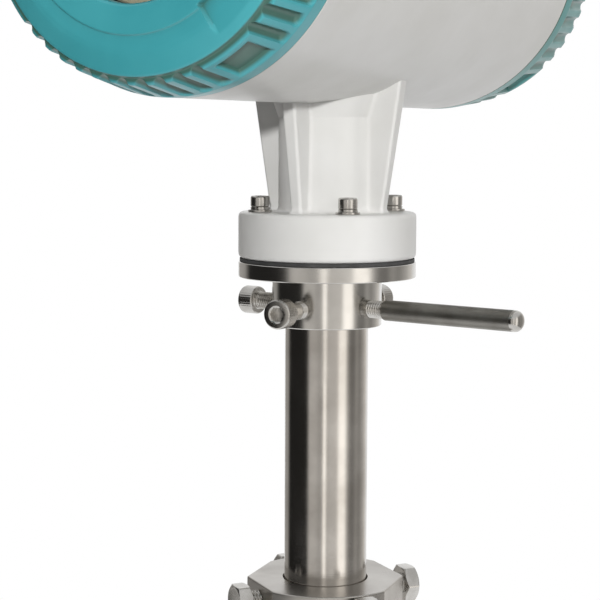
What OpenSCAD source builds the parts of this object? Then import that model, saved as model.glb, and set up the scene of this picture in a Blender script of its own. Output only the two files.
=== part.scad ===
// Insertion electromagnetic flow meter: a steel probe that slides through a threaded seat,
// with a finned cast housing on top that holds the display and the terminals.
// The origin is the middle of the seat's sealing face. +Z is up along the stem, the display
// faces -Y and the handle points along +X.

/* [Stem] */
// Outer diameter of the stem tube
stem_d = 38; // [32:0.5:42]
// Wall of the stem tube
stem_wall = 3; // [2:0.25:4]
// Length of stem that shows between the lock ring and the collar
stem_show = 117.5; // [80:0.5:200]
// Depth of the sensing tip below the sealing face
insertion = 150; // [120:1:260]

/* [Sensing tip] */
// Length of the plastic tip below the tube
tip_len = 34; // [24:1:50]
// Length of the tip's plug inside the tube
tip_plug = 14; // [10:1:24]
// Rounding of the tip's lower edge
tip_round = 4; // [2:0.5:4]
// Distance between the two electrodes
electrode_gap = 22; // [16:1:28]
// Diameter of an electrode's head
electrode_d = 7; // [5:0.5:9]
// Diameter of an electrode's shank
electrode_shank_d = 3; // [2:0.5:4]
// Length of the coil
coil_len = 30; // [20:1:50]
// Outer diameter of the coil
coil_d = 26; // [22:0.5:28]
// Diameter of the iron core
core_d = 12; // [8:0.5:14]
// Diameter of the bundle of leads in the stem
lead_d = 7; // [4:0.5:10]

/* [Seat] */
// Major diameter of the process thread
seat_thread_d = 59.6; // [55:0.1:65]
// Length of the process thread
seat_thread_len = 26; // [18:1:40]
// Distance across the flats of the seat's hexagon
seat_flats = 70; // [66:1:80]
// Height of the seat's hexagon
seat_hex_h = 16; // [12:1:30]
// Outer diameter of the seat's neck
seat_neck_d = 60; // [56:0.5:62]
// Outer diameter of the packing rings
packing_d = 50; // [47:0.5:53]
// Height of one packing ring
packing_h = 4; // [3:0.5:6]
// Number of packing rings
packing_count = 4; // [2:1:4]
// Height of the packing follower
follower_h = 11; // [9:0.5:16]
// Width of the sealing washer's face
washer_w = 4.5; // [3:0.5:5]
// Thickness of the sealing washer
washer_t = 2; // [1:0.25:3]

/* [Lock ring] */
// Height of the lock ring above the seat's hexagon
ring_lift = 3; // [2:0.5:6]
// Outer diameter of the lock ring
ring_d = 73.5; // [70:0.5:84]
// Distance across a pair of the ring's flats
ring_flats = 67; // [65:0.5:69]
// Height of the lock ring
ring_h = 36; // [33:0.5:44]
// Height of the ring's top web, which carries the bolts
ring_web = 16; // [14:0.5:18]
// Thread diameter of a lock bolt
bolt_d = 10; // [8:0.5:10]
// Length of a lock bolt under its head
bolt_len = 20; // [19:0.5:26]
// Distance across the flats of a lock bolt's head
bolt_flats = 16; // [14:0.5:17]
// Height of a lock bolt's head
bolt_head_h = 6.4; // [5:0.2:8]
// Depth of the bolts' axes below the ring's top
bolt_drop = 8; // [7:0.5:9]

/* [Collar and handle] */
// Outer diameter of the collar
collar_d = 50; // [48:0.5:56]
// Height of the collar
collar_h = 22; // [20:0.5:34]
// Height of the clamp screws above the collar's lower end
clamp_rise = 8.7; // [7:0.1:11]
// Thread diameter of a clamp screw
clamp_d = 8; // [6:0.5:9]
// Length of a clamp screw under its head
clamp_len = 20; // [18:0.5:30]
// Diameter of a clamp screw's head
clamp_head_d = 13; // [10:0.5:14]
// Height of a clamp screw's head
clamp_head_h = 8; // [6:0.5:9]
// Diameter of the handle's rod
handle_d = 9.2; // [8.5:0.1:12]
// Thread that shows between the collar and the handle's rod
handle_thread_show = 8; // [5:0.5:12]
// Reach of the handle from the stem's axis
handle_reach = 103; // [70:1:140]

/* [Flange joint] */
// Diameter of both flanges
flange_d = 80.8; // [78:0.2:90]
// Thickness of the steel flange
steel_flange_t = 7; // [5:0.5:12]
// Thickness of the gasket
gasket_t = 1.6; // [1:0.1:3]
// Thickness of the housing's own flange
cast_flange_t = 21; // [14:0.5:28]
// Rounding of the housing flange's edges
cast_flange_round = 2.6; // [1:0.2:5]
// Diameter of the circle of flange screws
flange_circle_d = 63; // [60:0.5:66]
// Thread diameter of a flange screw
flange_screw_d = 5; // [4:0.5:6]
// Diameter of a flange screw's head
flange_head_d = 8.5; // [7:0.5:10]
// Outer diameter of the flat washers
flat_washer_d = 10.8; // [9:0.2:12]

/* [Housing] */
// Height of the housing's axis above the steel flange's lower face
axis_rise = 154.4; // [150:0.2:180]
// Outer diameter of the housing's barrel
barrel_d = 153; // [150:0.5:160]
// Reach of the barrel in front of the stem
barrel_front = 119; // [110:0.5:140]
// Reach of the barrel behind the stem
barrel_rear = 108; // [104:0.5:130]
// Wall of the barrel
barrel_wall = 6; // [5:0.25:6.5]
// Distance of the inner partition behind the stem
partition_y = 22; // [20:0.5:26]
// Thickness of the partition
partition_t = 5; // [4:0.5:8]
// Diameter of the neck's round core
neck_core_d = 44.6; // [40:0.2:48]
// Reach of a fin at the flange
fin_low = 28.8; // [26:0.2:30]
// Reach of a fin where it meets the barrel
fin_high = 38; // [35:0.2:42]
// Thickness of a fin at the flange
fin_thin = 5.5; // [4:0.1:6]
// Thickness of a fin at the barrel
fin_thick = 7.2; // [6.5:0.1:9]
// Height of the flare between the core and the barrel
flare_h = 10; // [5:0.5:12]
// Diameter of the wire passage through the neck
wire_bore_d = 26; // [20:0.5:28]

/* [Covers] */
// Height of a cover's plain ring, next to the barrel
cover_ring_h = 7.6; // [5:0.2:10]
// Height of a cover from the joint to its rim
cover_rim_h = 30.4; // [26:0.2:36]
// Diameter of the front cover's rim
rim_d = 138.8; // [134:0.2:140]
// Diameter across the outer ends of the front cover's ribs
rib_end_d = 145.6; // [144:0.2:148]
// Height of the rear cover from the joint to its flat back
rear_cover_h = 34.6; // [31:0.2:40]
// Diameter across the outer ends of the rear cover's ribs
rear_rib_end_d = 149; // [147:0.2:150]
// Depth of the recesses between the ribs
recess_depth = 2.6; // [1.5:0.1:3]
// Width of one recess between ribs
recess_w = 5.4; // [4:0.1:6]
// Number of recesses in a quarter turn
recess_count = 11; // [6:1:11]
// Angle between the two ridges beside a long pocket
pocket_angle = 16; // [12:0.5:18]
// Direction of the first long pocket, from +X downwards
pocket_dir = 58.3; // [50:0.1:66]
// Height of the front face above the rim
face_crown = 2.2; // [1:0.1:4]
// Diameter of the raised disc round the window
step_d = 109; // [104:0.5:114]
// Height of the raised disc
step_h = 0.8; // [0.4:0.1:1.5]
// Diameter of the window's opening
window_d = 85; // [76:0.5:88]
// Thickness of the window's glass
glass_t = 6; // [4:0.5:7]
// Length of the covers' threaded spigots
spigot_len = 14; // [10:0.5:16]
// Thickness of the covers' walls
cover_wall = 5; // [4:0.25:5.5]
// Section diameter of the covers' seal rings
cover_seal_d = 2.6; // [2:0.1:3]
// Number of wrench notches in a cover's face
notch_count = 3; // [2:1:4]
// Direction of the first wrench notch, from +X downwards
notch_dir = 44.5; // [40:0.5:50]
// Angle that a wrench notch spans
notch_angle = 24; // [16:1:28]

/* [Electronics] */
// Gap between the round boards and the bore of the covers
board_gap = 6.95; // [4:0.05:12]
// Thickness of a circuit board
board_t = 1.6; // [1.2:0.1:2.4]
// Thickness of the display panel
panel_t = 2; // [1.5:0.1:3]
// Distance of the display panel's face in front of the barrel's joint
panel_out = 11; // [6:0.5:12]
// Distance of the mounting posts inside the edge of the boards
post_inset = 9; // [8:0.5:12]
// Distance of the display board behind the display panel
display_gap = 12; // [11:0.5:16]
// Distance of the main board behind the display board
main_gap = 18; // [12:0.5:24]
// Distance of the power board behind the main board
power_gap = 43; // [30:0.5:50]
// Width of the display's viewing area
lcd_w = 62; // [40:1:66]
// Height of the display's viewing area
lcd_h = 32; // [20:1:36]
// Diameter of a key's cap
key_d = 8; // [6:0.5:9]
// Distance between the keys
key_pitch = 15; // [12:0.5:16]
// Travel of a key
key_travel = 0.8; // [0.4:0.1:1]
// Number of terminals
terminal_count = 10; // [6:1:12]
// Distance between the terminals
terminal_pitch = 8; // [7:0.5:9]
// Height of the terminal block
terminal_block_h = 24; // [18:1:30]
// Depth of the terminal block
terminal_block_deep = 16; // [12:0.5:20]

/* [Cable glands] */
// Thread diameter of a cable gland
gland_thread_d = 20; // [16:0.5:22]
// Distance across the flats of a gland
gland_flats = 24; // [22:0.5:26]
// Diameter of the opening for the cable
cable_d = 10; // [6:0.5:11]
// Distance of the first gland's axis behind the stem
gland_y = 46; // [44:0.5:50]
// Distance between the two glands
gland_pitch = 32; // [31:0.5:32]

/* [Hidden] */
$fn = 96;

// Overlap that keeps cuts clean
cut = 1;
// Radial clearance of a running fit
fit = 0.05;
// Gap between pieces that pass each other without a fit
gap = 0.3;
// Corner break on turned parts
break_edge = 0.6;

stem_r = stem_d / 2;
stem_bore_r = stem_r - stem_wall;
hex_top = washer_t + seat_hex_h;
ring_bottom = hex_top + ring_lift;
ring_top = ring_bottom + ring_h;
web_bottom = ring_top - ring_web;
seat_top = web_bottom - cut;
follower_top = web_bottom - gap;
packing_top = follower_top - follower_h;
packing_bottom = packing_top - packing_count * packing_h;
bolt_z = ring_top - bolt_drop;
collar_bottom = ring_top + stem_show;
clamp_z = collar_bottom + clamp_rise;
flange_bottom = collar_bottom + collar_h;
cast_bottom = flange_bottom + steel_flange_t + gasket_t;
cast_top = cast_bottom + cast_flange_t;
axis_z = flange_bottom + axis_rise;
tube_bottom = -insertion + tip_len;
flange_r = flange_d / 2;

// Directions from the front (-Y) towards +X: clamp screws, handle, lock bolts, ring flats
clamp_dirs = [1, -97, 174];
handle_dir = 81;
bolt_dirs = [for (i = [0:3]) -36 + 90 * i];
flat_dirs = [bolt_dirs[0], bolt_dirs[0] - 45];

// Cut-outs and places of the barrel
barrel_r = barrel_d / 2;
cavity_r = barrel_r - barrel_wall;
mouth_r = cavity_r + 0.5;
mouth_depth = spigot_len + 2;
core_r = neck_core_d / 2;
flare_slope = 0.35;
flare_z = axis_z - barrel_r - 0.6 * flare_h;
cast_fillet = 3;
fin_round = 1.4;

// Covers
spigot_r = mouth_r - fit;
cover_bore_r = spigot_r - cover_wall;
rim_r = rim_d / 2;
face_h = cover_rim_h + face_crown;
disc_h = face_h + step_h;
front_wall_h = face_h - 5.6;
seal_groove_y = 3.4;
notch_inner_r = step_d / 2 - 1.6;
glass_r = window_d / 2 + 4.2;
glass_boss_r = glass_r + 5;
window_seal_t = 1;
window_ring_t = 5;

// Electronics
board_r = cover_bore_r - board_gap;
post_dirs = [90, 210, 330];
plate_t = 3;
panel_y = -barrel_front - panel_out;
panel_back = panel_y + panel_t;
display_board_y = panel_back + display_gap;
main_board_y = display_board_y + main_gap;
power_board_y = main_board_y + power_gap;
// Radii of the posts, each step thinner, then of the panel screws and their heads
post_r = [4.5, 3.9, 3.3, 2.7];
panel_screw_r = 1.5;
panel_head_r = 2.8;
lcd_z = 9;
key_z = -27;
key_flange = 1;
switch_h = 4.2;
switch_w = 7;

// Cable glands, measured outwards from the boss
gland_boss_r = 17;
gland_boss_out = 4;
gland_boss_root = 12;
gland_thread_len = 12;
gland_hex_h = 5;
gland_neck_h = 10;
gland_nut_wall = 3.6;
gland_neck_r = gland_thread_d / 2 - 0.8;
gland_seal_r = gland_neck_r - 1.4;
gland_seal_top = gland_hex_h + gland_neck_h + 1;

// Turns a piece that was drawn along +Z so that it points outwards in a direction
// given from the front towards +X
module radial(dir, z) {
    translate([0, 0, z]) rotate([90, 0, dir]) children();
}

// Places a piece drawn from the joint outwards, on the front or the rear end of the barrel
module at_front() {
    translate([0, -barrel_front, axis_z]) rotate([90, 0, 0]) children();
}
module at_rear() {
    translate([0, barrel_rear, axis_z]) rotate([-90, 0, 0]) children();
}

// A turned rod or ring: an outline of [radius, height] points
module turned(points) {
    rotate_extrude() polygon(points);
}

// A ring with square edges
module ring(inner, outer, low, high) {
    difference() {
        translate([0, 0, low]) cylinder(r = outer, h = high - low);
        translate([0, 0, low - cut]) cylinder(r = inner, h = high - low + 2 * cut);
    }
}

// A hexagon prism given by the distance across its flats, with its corners broken
module hexagon(flats, h) {
    intersection() {
        cylinder(d = flats / cos(30), h = h, $fn = 6);
        turned([[0, 0], [flats / 2, 0], [flats / 2 * 1.1547, h * 0.12],
            [flats / 2 * 1.1547, h * 0.88], [flats / 2, h], [0, h]]);
    }
}

// Cap screw with an inner hexagon, its tip at the origin and its head outwards
module cap_screw(shank_r, len, head_r, head_h) {
    difference() {
        turned([[0, 0], [shank_r - 0.5, 0], [shank_r, 0.5], [shank_r, len], [head_r, len],
            [head_r, len + head_h - 0.4], [head_r - 0.4, len + head_h], [0, len + head_h]]);
        translate([0, 0, len + head_h * 0.5])
            cylinder(r = head_r * 0.53, h = head_h, $fn = 6);
    }
}

// Seat: process thread, hexagon and stuffing box

module seat_body() {
    thread_r = seat_thread_d / 2;
    neck_r = seat_neck_d / 2;
    color("silver") difference() {
        union() {
            turned([[0, -seat_thread_len], [thread_r - 1.5, -seat_thread_len],
                [thread_r, -seat_thread_len + 1.5], [thread_r, 0], [thread_r - 1.2, 0],
                [thread_r - 1.2, washer_t + 0.5], [0, washer_t + 0.5]]);
            translate([0, 0, washer_t]) hexagon(seat_flats, seat_hex_h);
            turned([[0, hex_top - cut], [neck_r, hex_top - cut],
                [neck_r, seat_top - break_edge], [neck_r - break_edge, seat_top], [0, seat_top]]);
        }
        translate([0, 0, -seat_thread_len - cut])
            cylinder(r = stem_r + gap, h = seat_thread_len + seat_top + 2 * cut);
        translate([0, 0, packing_bottom])
            cylinder(d = packing_d, h = seat_top - packing_bottom + cut);
    }
}

module seal_washer() {
    thread_r = seat_thread_d / 2;
    color("dimgray") ring(thread_r + fit, thread_r + washer_w, 0, washer_t);
}

module packing_rings() {
    color("ivory") for (i = [0:packing_count - 1])
        translate([0, 0, packing_bottom + i * packing_h])
            ring(stem_r + gap, packing_d / 2 - fit, 0, packing_h - fit);
}

module packing_follower() {
    color("silver") ring(stem_r + gap, packing_d / 2 - fit, packing_top, follower_top);
}

// Lock ring and its four bolts

module lock_ring() {
    color("lightgray") difference() {
        translate([0, 0, ring_bottom]) turned([[0, 0], [ring_d / 2 - break_edge, 0],
            [ring_d / 2, break_edge], [ring_d / 2, ring_h - break_edge],
            [ring_d / 2 - break_edge, ring_h], [0, ring_h]]);
        for (dir = flat_dirs, side = [0, 180])
            rotate(dir + side) translate([-ring_d, ring_flats / 2, ring_bottom - cut])
                cube([2 * ring_d, ring_d, ring_h + 2 * cut]);
        translate([0, 0, ring_bottom]) cylinder(r = stem_r + fit, h = ring_h + cut);
        translate([0, 0, ring_bottom - cut])
            cylinder(d = seat_neck_d + 2 * fit, h = ring_h - ring_web + cut);
        for (dir = bolt_dirs) radial(dir, bolt_z) cylinder(d = bolt_d + 2 * fit, h = ring_d);
    }
}

module lock_bolt(n) {
    tip_r = stem_r + 2 * fit;
    color("silver") radial(bolt_dirs[n], bolt_z) translate([0, 0, tip_r]) {
        turned([[0, 0], [bolt_d / 2 - 0.8, 0], [bolt_d / 2, 0.8], [bolt_d / 2, bolt_len + 0.2],
            [0, bolt_len + 0.2]]);
        translate([0, 0, bolt_len]) hexagon(bolt_flats, bolt_head_h);
    }
}
module lock_bolt_1() { lock_bolt(0); }
module lock_bolt_2() { lock_bolt(1); }
module lock_bolt_3() { lock_bolt(2); }
module lock_bolt_4() { lock_bolt(3); }

// Probe: tube, plastic tip, electrodes, coil and leads

module stem_tube() {
    color("lightgray") difference() {
        translate([0, 0, tube_bottom]) turned([[0, 0], [stem_r, 0],
            [stem_r, flange_bottom - tube_bottom - gap - break_edge],
            [stem_r - break_edge, flange_bottom - tube_bottom - gap],
            [0, flange_bottom - tube_bottom - gap]]);
        translate([0, 0, tube_bottom - cut])
            cylinder(r = stem_bore_r, h = flange_bottom - tube_bottom + 2 * cut);
    }
}

coil_floor = -insertion + 9;
coil_top = coil_floor + coil_len;
core_top = coil_top + 6;

module sensor_tip() {
    color("ivory") difference() {
        union() {
            translate([0, 0, -insertion]) rotate_extrude() union() {
                translate([0, tip_round]) square([stem_r, tip_len - tip_round]);
                square([stem_r - tip_round, tip_round + 0.01]);
                translate([stem_r - tip_round, tip_round]) intersection() {
                    circle(r = tip_round);
                    translate([0, -tip_round]) square(tip_round);
                }
            }
            translate([0, 0, tube_bottom - 0.5])
                cylinder(r = stem_bore_r - fit, h = tip_plug + 0.5);
        }
        translate([0, 0, coil_floor]) cylinder(d = coil_d + 2 * fit, h = insertion);
        for (side = [-1, 1]) translate([side * electrode_gap / 2, 0, -insertion - cut])
            cylinder(d = electrode_shank_d, h = 9);
    }
}

module electrodes() {
    color("gold") for (side = [-1, 1]) translate([side * electrode_gap / 2, 0, -insertion])
        turned([[0, -0.8], [electrode_d / 2 - 0.4, -0.8], [electrode_d / 2, -0.4],
            [electrode_d / 2, 0], [electrode_shank_d / 2, 0], [electrode_shank_d / 2, 8], [0, 8]]);
}

module coil_core() {
    color("dimgray") translate([0, 0, coil_floor]) cylinder(d = core_d, h = core_top - coil_floor);
}

module coil() {
    color("peru") ring(core_d / 2, coil_d / 2, coil_floor, coil_top);
}

module lead_bundle() {
    plug_len = 14;
    plug_rise = 8;
    leads_top = axis_z - cavity_r + plug_rise;
    color("dimgray") {
        translate([0, 0, core_top]) cylinder(d = lead_d, h = leads_top - core_top + 0.5);
        translate([0, 0, leads_top]) cylinder(d = lead_d * 1.8, h = plug_len);
    }
}

// Collar with its clamp screws and handle

module collar() {
    collar_r = collar_d / 2;
    color("lightgray") difference() {
        translate([0, 0, collar_bottom]) turned([[0, 0], [collar_r - break_edge, 0],
            [collar_r, break_edge], [collar_r, collar_h - break_edge],
            [collar_r - break_edge, collar_h], [0, collar_h]]);
        translate([0, 0, collar_bottom - cut]) cylinder(r = stem_r + fit, h = collar_h + 2 * cut);
        for (dir = clamp_dirs) radial(dir, clamp_z) cylinder(d = clamp_d + 2 * fit, h = collar_d);
        radial(handle_dir, clamp_z) cylinder(d = clamp_d, h = collar_d);
    }
}

module handle() {
    start = stem_r + 2 * gap;
    rod_start = collar_d / 2 + handle_thread_show;
    rod_r = handle_d / 2;
    dome = 2.2;
    color("gray") radial(handle_dir, clamp_z) rotate_extrude() union() {
        translate([0, start]) square([clamp_d / 2, rod_start - start + 0.5]);
        polygon([[0, rod_start], [rod_r - 0.5, rod_start], [rod_r, rod_start + 0.5],
            [rod_r, handle_reach - dome], [0, handle_reach - dome]]);
        translate([0, handle_reach - dome]) square([rod_r - dome, dome]);
        translate([rod_r - dome, handle_reach - dome]) intersection() {
            circle(r = dome, $fn = 32);
            square(dome);
        }
    }
}

module clamp_screw(n) {
    color("silver") radial(clamp_dirs[n], clamp_z) translate([0, 0, stem_r + 2 * fit])
        cap_screw(clamp_d / 2, clamp_len, clamp_head_d / 2, clamp_head_h);
}
module clamp_screw_1() { clamp_screw(0); }
module clamp_screw_2() { clamp_screw(1); }
module clamp_screw_3() { clamp_screw(2); }

// Flange joint between the probe and the housing

module flange_places() {
    for (i = [0:3]) rotate(45 + 90 * i) translate([flange_circle_d / 2, 0, 0]) children();
}

module steel_flange() {
    color("lightgray") difference() {
        translate([0, 0, flange_bottom]) turned([[0, 0], [flange_r - break_edge, 0],
            [flange_r, break_edge], [flange_r, steel_flange_t - break_edge],
            [flange_r - break_edge, steel_flange_t], [0, steel_flange_t]]);
        translate([0, 0, flange_bottom - cut]) cylinder(d = wire_bore_d, h = steel_flange_t + 2 * cut);
        flange_places() translate([0, 0, flange_bottom + 1])
            cylinder(d = flange_screw_d, h = steel_flange_t);
    }
}

module gasket() {
    color("dimgray") difference() {
        ring(wire_bore_d / 2, flange_r - break_edge, cast_bottom - gasket_t, cast_bottom);
        flange_places() translate([0, 0, cast_bottom - gasket_t - cut])
            cylinder(d = flange_screw_d + 0.5, h = gasket_t + 2 * cut);
    }
}

flat_washer_t = 1;
spring_washer_t = 1.3;

module flange_screws() {
    grip = flat_washer_t + spring_washer_t + cast_flange_t + gasket_t;
    len = grip + steel_flange_t - 1.5;
    color("silver") flange_places() translate([0, 0, cast_top + flat_washer_t + spring_washer_t - len])
        cap_screw(flange_screw_d / 2, len, flange_head_d / 2, flange_screw_d);
}

module spring_washers() {
    low = cast_top + flat_washer_t;
    color("silver") flange_places() difference() {
        ring(flange_screw_d / 2 + fit, flange_head_d / 2, low, low + spring_washer_t);
        rotate(60) translate([0, -0.4, low - cut]) cube([flange_head_d, 0.8, spring_washer_t + 2 * cut]);
    }
}

module flat_washers() {
    color("silver") flange_places()
        ring(flange_screw_d / 2 + fit, flat_washer_d / 2, cast_top, cast_top + flat_washer_t);
}

// Housing casting: barrel, finned neck, flange and gland bosses

// One fin, drawn along +X: thicker and longer towards the barrel
module fin() {
    top_z = axis_z - sqrt(barrel_r * barrel_r - fin_high * fin_high) + cut;
    hull() for (end = [[cast_top - cut, fin_low, fin_thin], [top_z, fin_high, fin_thick]])
        for (side = [-1, 1]) {
            translate([end[1] - fin_round, side * (end[2] / 2 - fin_round), end[0]])
                cylinder(r = fin_round, h = 0.1, $fn = 32);
            translate([0, side * (end[2] / 2 - fin_round), end[0]])
                cylinder(r = fin_round, h = 0.1, $fn = 12);
        }
}

// Revolved outline of the flange, with both edges rounded
module cast_flange() {
    r = cast_flange_round;
    translate([0, 0, cast_bottom]) rotate_extrude() union() {
        square([flange_r - r, cast_flange_t]);
        translate([0, r]) square([flange_r, cast_flange_t - 2 * r]);
        for (y = [r, cast_flange_t - r]) translate([flange_r - r, y]) circle(r = r, $fn = 48);
    }
}

// Hollow round in the corner between the neck's core and its flange
module neck_fillet() {
    translate([0, 0, cast_top]) rotate_extrude() difference() {
        translate([0, -cut]) square([core_r + cast_fillet, cast_fillet + cut]);
        translate([core_r + cast_fillet, cast_fillet]) circle(r = cast_fillet, $fn = 48);
    }
}

module neck() {
    translate([0, 0, cast_top - cut]) cylinder(r = core_r, h = axis_z - barrel_r - cast_top + 8);
    translate([0, 0, flare_z])
        cylinder(r1 = core_r, r2 = core_r + flare_slope * flare_h, h = flare_h);
    neck_fillet();
    for (i = [0:3]) rotate(90 * i) fin();
}

// Runs its children along the housing's axis, from the stem towards the rear
module along_axis(from) {
    translate([0, from, axis_z]) rotate([-90, 0, 0]) children();
}

module at_gland(n) {
    translate([-barrel_r - gland_boss_out, gland_y + n * gland_pitch, axis_z])
        rotate([0, -90, 0]) children();
}

module housing() {
    front_cavity = barrel_front + partition_y;
    rear_cavity = barrel_rear - partition_y - partition_t;
    color("gainsboro") difference() {
        union() {
            along_axis(-barrel_front) cylinder(r = barrel_r, h = barrel_front + barrel_rear, $fn = 180);
            neck();
            cast_flange();
            for (n = [0, 1]) at_gland(n)
                translate([0, 0, -gland_boss_out - gland_boss_root])
                    cylinder(r = gland_boss_r, h = gland_boss_out + gland_boss_root);
        }
        along_axis(-barrel_front - cut) cylinder(r = cavity_r, h = front_cavity + cut);
        along_axis(partition_y + partition_t) cylinder(r = cavity_r, h = rear_cavity + cut);
        along_axis(-barrel_front - cut) cylinder(r = mouth_r, h = mouth_depth + cut);
        along_axis(barrel_rear - mouth_depth) cylinder(r = mouth_r, h = mouth_depth + cut);
        translate([0, 0, cast_bottom - cut]) cylinder(d = wire_bore_d, h = axis_z - cast_bottom);
        flange_places() translate([0, 0, cast_bottom - cut])
            cylinder(d = flange_screw_d + 0.5, h = cast_flange_t + 2 * cut);
        for (n = [0, 1]) at_gland(n)
            translate([0, 0, -gland_boss_out - barrel_wall - 6])
                cylinder(d = gland_thread_d, h = gland_boss_out + barrel_wall + 8);
    }
}

// Screw covers with their grip ribs, seal rings and window

// Radius of the ribs' crest at a height above the joint
function crest(h, end_r, end_h) =
    barrel_r - (barrel_r - end_r) * (h - cover_ring_h) / (end_h - cover_ring_h);

// One recess between ribs: a round-nosed cutter that follows the crest and runs out in front
module recess_cutter(end_r, end_h) {
    r = recess_w / 2;
    start = cover_ring_h + r + 0.4;
    slope = atan((barrel_r - end_r) / (end_h - cover_ring_h));
    translate([crest(start, end_r, end_h) + r - recess_depth, 0, start]) rotate([0, -slope, 0])
        rotate_extrude($fn = 32) union() {
            square([r, end_h]);
            intersection() {
                circle(r = r, $fn = 32);
                translate([0, -r]) square([r, r]);
            }
        }
}

// One long pocket, closed in front by a ridge
module pocket_cutter(end_r, end_h) {
    side = recess_w * 0.36 / barrel_r * 57.3;
    low = cover_ring_h + 1.4;
    high = end_h - 2;
    rotate(-pocket_angle / 2 + side) rotate_extrude(angle = pocket_angle - 2 * side) polygon([
        [crest(low, end_r, end_h) + cut, low],
        [crest(low, end_r, end_h) - recess_depth, low + 1.2],
        [crest(high, end_r, end_h) - recess_depth, high - 1.2],
        [crest(high, end_r, end_h) + cut, high]]);
}

// All recesses of a cover, with a long pocket in each quarter
module grip_cuts(end_r, end_h, turn) {
    pitch = (90 - pocket_angle) / recess_count;
    for (quarter = [0:3]) rotate(turn + 90 * quarter) {
        pocket_cutter(end_r, end_h);
        for (i = [0:recess_count - 1]) rotate(pocket_angle / 2 + (i + 0.5) * pitch)
            recess_cutter(end_r, end_h);
    }
}

// Flats in a cover's face where a wrench bar bears
module wrench_notches(inner, outer, floor_h, turn) {
    for (i = [0:notch_count - 1]) rotate(turn - notch_angle / 2 + 360 / notch_count * i)
        rotate_extrude(angle = notch_angle)
            translate([inner, floor_h]) square([outer - inner, 10]);
}

// Groove for the seal ring in a cover's spigot
module seal_groove() {
    translate([0, 0, -seal_groove_y]) difference() {
        translate([0, 0, -cover_seal_d / 2 - 0.15]) cylinder(r = spigot_r + cut, h = cover_seal_d + 0.3);
        translate([0, 0, -cover_seal_d]) cylinder(r = spigot_r - cover_seal_d - 0.1, h = 2 * cover_seal_d);
    }
}

module front_cover() {
    end_h = cover_rim_h - 3.8;
    end_r = rib_end_d / 2;
    crown_r = rim_r - 8;
    color("teal") at_front() difference() {
        rotate_extrude($fn = 180) union() {
            polygon([
                [cover_bore_r, -spigot_len], [spigot_r - 1, -spigot_len], [spigot_r, 1 - spigot_len],
                [spigot_r, 0], [barrel_r - 0.3, 0], [barrel_r, 0.3], [barrel_r, cover_ring_h],
                [end_r, end_h], [end_r - 0.4, end_h + 0.9], [end_r - 1.3, end_h + 1.5],
                [rim_r + 0.8, end_h + 1.8], [rim_r + 0.3, cover_rim_h], [rim_r, cover_rim_h + 0.3],
                for (i = [1:6]) [rim_r - (rim_r - crown_r) * sin(15 * i),
                    cover_rim_h + 0.3 + (face_crown - 0.3) * (1 - cos(15 * i)) * 0.15
                    + (face_crown - 0.3) * sin(15 * i) * 0.85],
                [step_d / 2, face_h], [step_d / 2 - 0.7, disc_h], [window_d / 2 + 1.2, disc_h],
                [window_d / 2, disc_h - 1.2], [window_d / 2, front_wall_h],
                [glass_r + 0.1, front_wall_h],
                [glass_r + 0.1, front_wall_h - window_seal_t - glass_t - window_ring_t],
                [glass_boss_r, front_wall_h - window_seal_t - glass_t - window_ring_t],
                [glass_boss_r + 1, front_wall_h - 1], [cover_bore_r - 5, front_wall_h - 1],
                [cover_bore_r, front_wall_h - 6]]);
        }
        grip_cuts(end_r, end_h, -pocket_dir);
        wrench_notches(notch_inner_r, rim_r + 2, cover_rim_h + 0.5, -notch_dir);
        seal_groove();
    }
}

module rear_cover() {
    end_h = rear_cover_h - 5;
    end_r = rear_rib_end_d / 2;
    inner_h = rear_cover_h - cover_wall;
    color("teal") at_rear() difference() {
        turned([
            [0, inner_h], [cover_bore_r - 5, inner_h], [cover_bore_r, inner_h - 5],
            [cover_bore_r, -spigot_len], [spigot_r - 1, -spigot_len], [spigot_r, 1 - spigot_len],
            [spigot_r, 0], [barrel_r - 0.3, 0], [barrel_r, 0.3], [barrel_r, cover_ring_h],
            [end_r, end_h], [end_r - 0.5, end_h + 2.2], [end_r - 1.4, rear_cover_h - 1.1],
            [end_r - 3, rear_cover_h], [step_d / 2, rear_cover_h],
            [step_d / 2 - 0.7, rear_cover_h + step_h], [0, rear_cover_h + step_h]]);
        grip_cuts(end_r, end_h, pocket_dir);
        wrench_notches(notch_inner_r, end_r + 2, rear_cover_h - 2.2, notch_dir);
        seal_groove();
    }
}

module cover_seal_ring() {
    translate([0, 0, -seal_groove_y]) rotate_extrude()
        translate([spigot_r - cover_seal_d / 2, 0]) circle(d = cover_seal_d, $fn = 24);
}
module front_seal_ring() { color("black") at_front() cover_seal_ring(); }
module rear_seal_ring() { color("black") at_rear() cover_seal_ring(); }

glass_top = front_wall_h - window_seal_t;

module window_seal() {
    color("black") at_front() ring(window_d / 2 + 0.4, glass_r, glass_top, front_wall_h);
}
module window_glass() {
    color("lightcyan", 0.4) at_front()
        translate([0, 0, glass_top - glass_t]) cylinder(r = glass_r, h = glass_t);
}
module window_ring() {
    color("silver") at_front()
        ring(window_d / 2 + 0.4, glass_r, glass_top - glass_t - window_ring_t, glass_top - glass_t);
}

// Electronics in the front chamber

module at_posts() {
    for (dir = post_dirs) rotate([0, -dir, 0]) translate([board_r - post_inset, 0, 0]) children();
}

// A round board with holes for the posts, its rear face at y
module board(y, t, hole_r) {
    translate([0, 0, axis_z]) difference() {
        translate([0, y, 0]) rotate([90, 0, 0]) cylinder(r = board_r, h = t);
        at_posts() translate([0, y + cut, 0]) rotate([90, 0, 0]) cylinder(r = hole_r, h = t + 2 * cut);
    }
}

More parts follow.
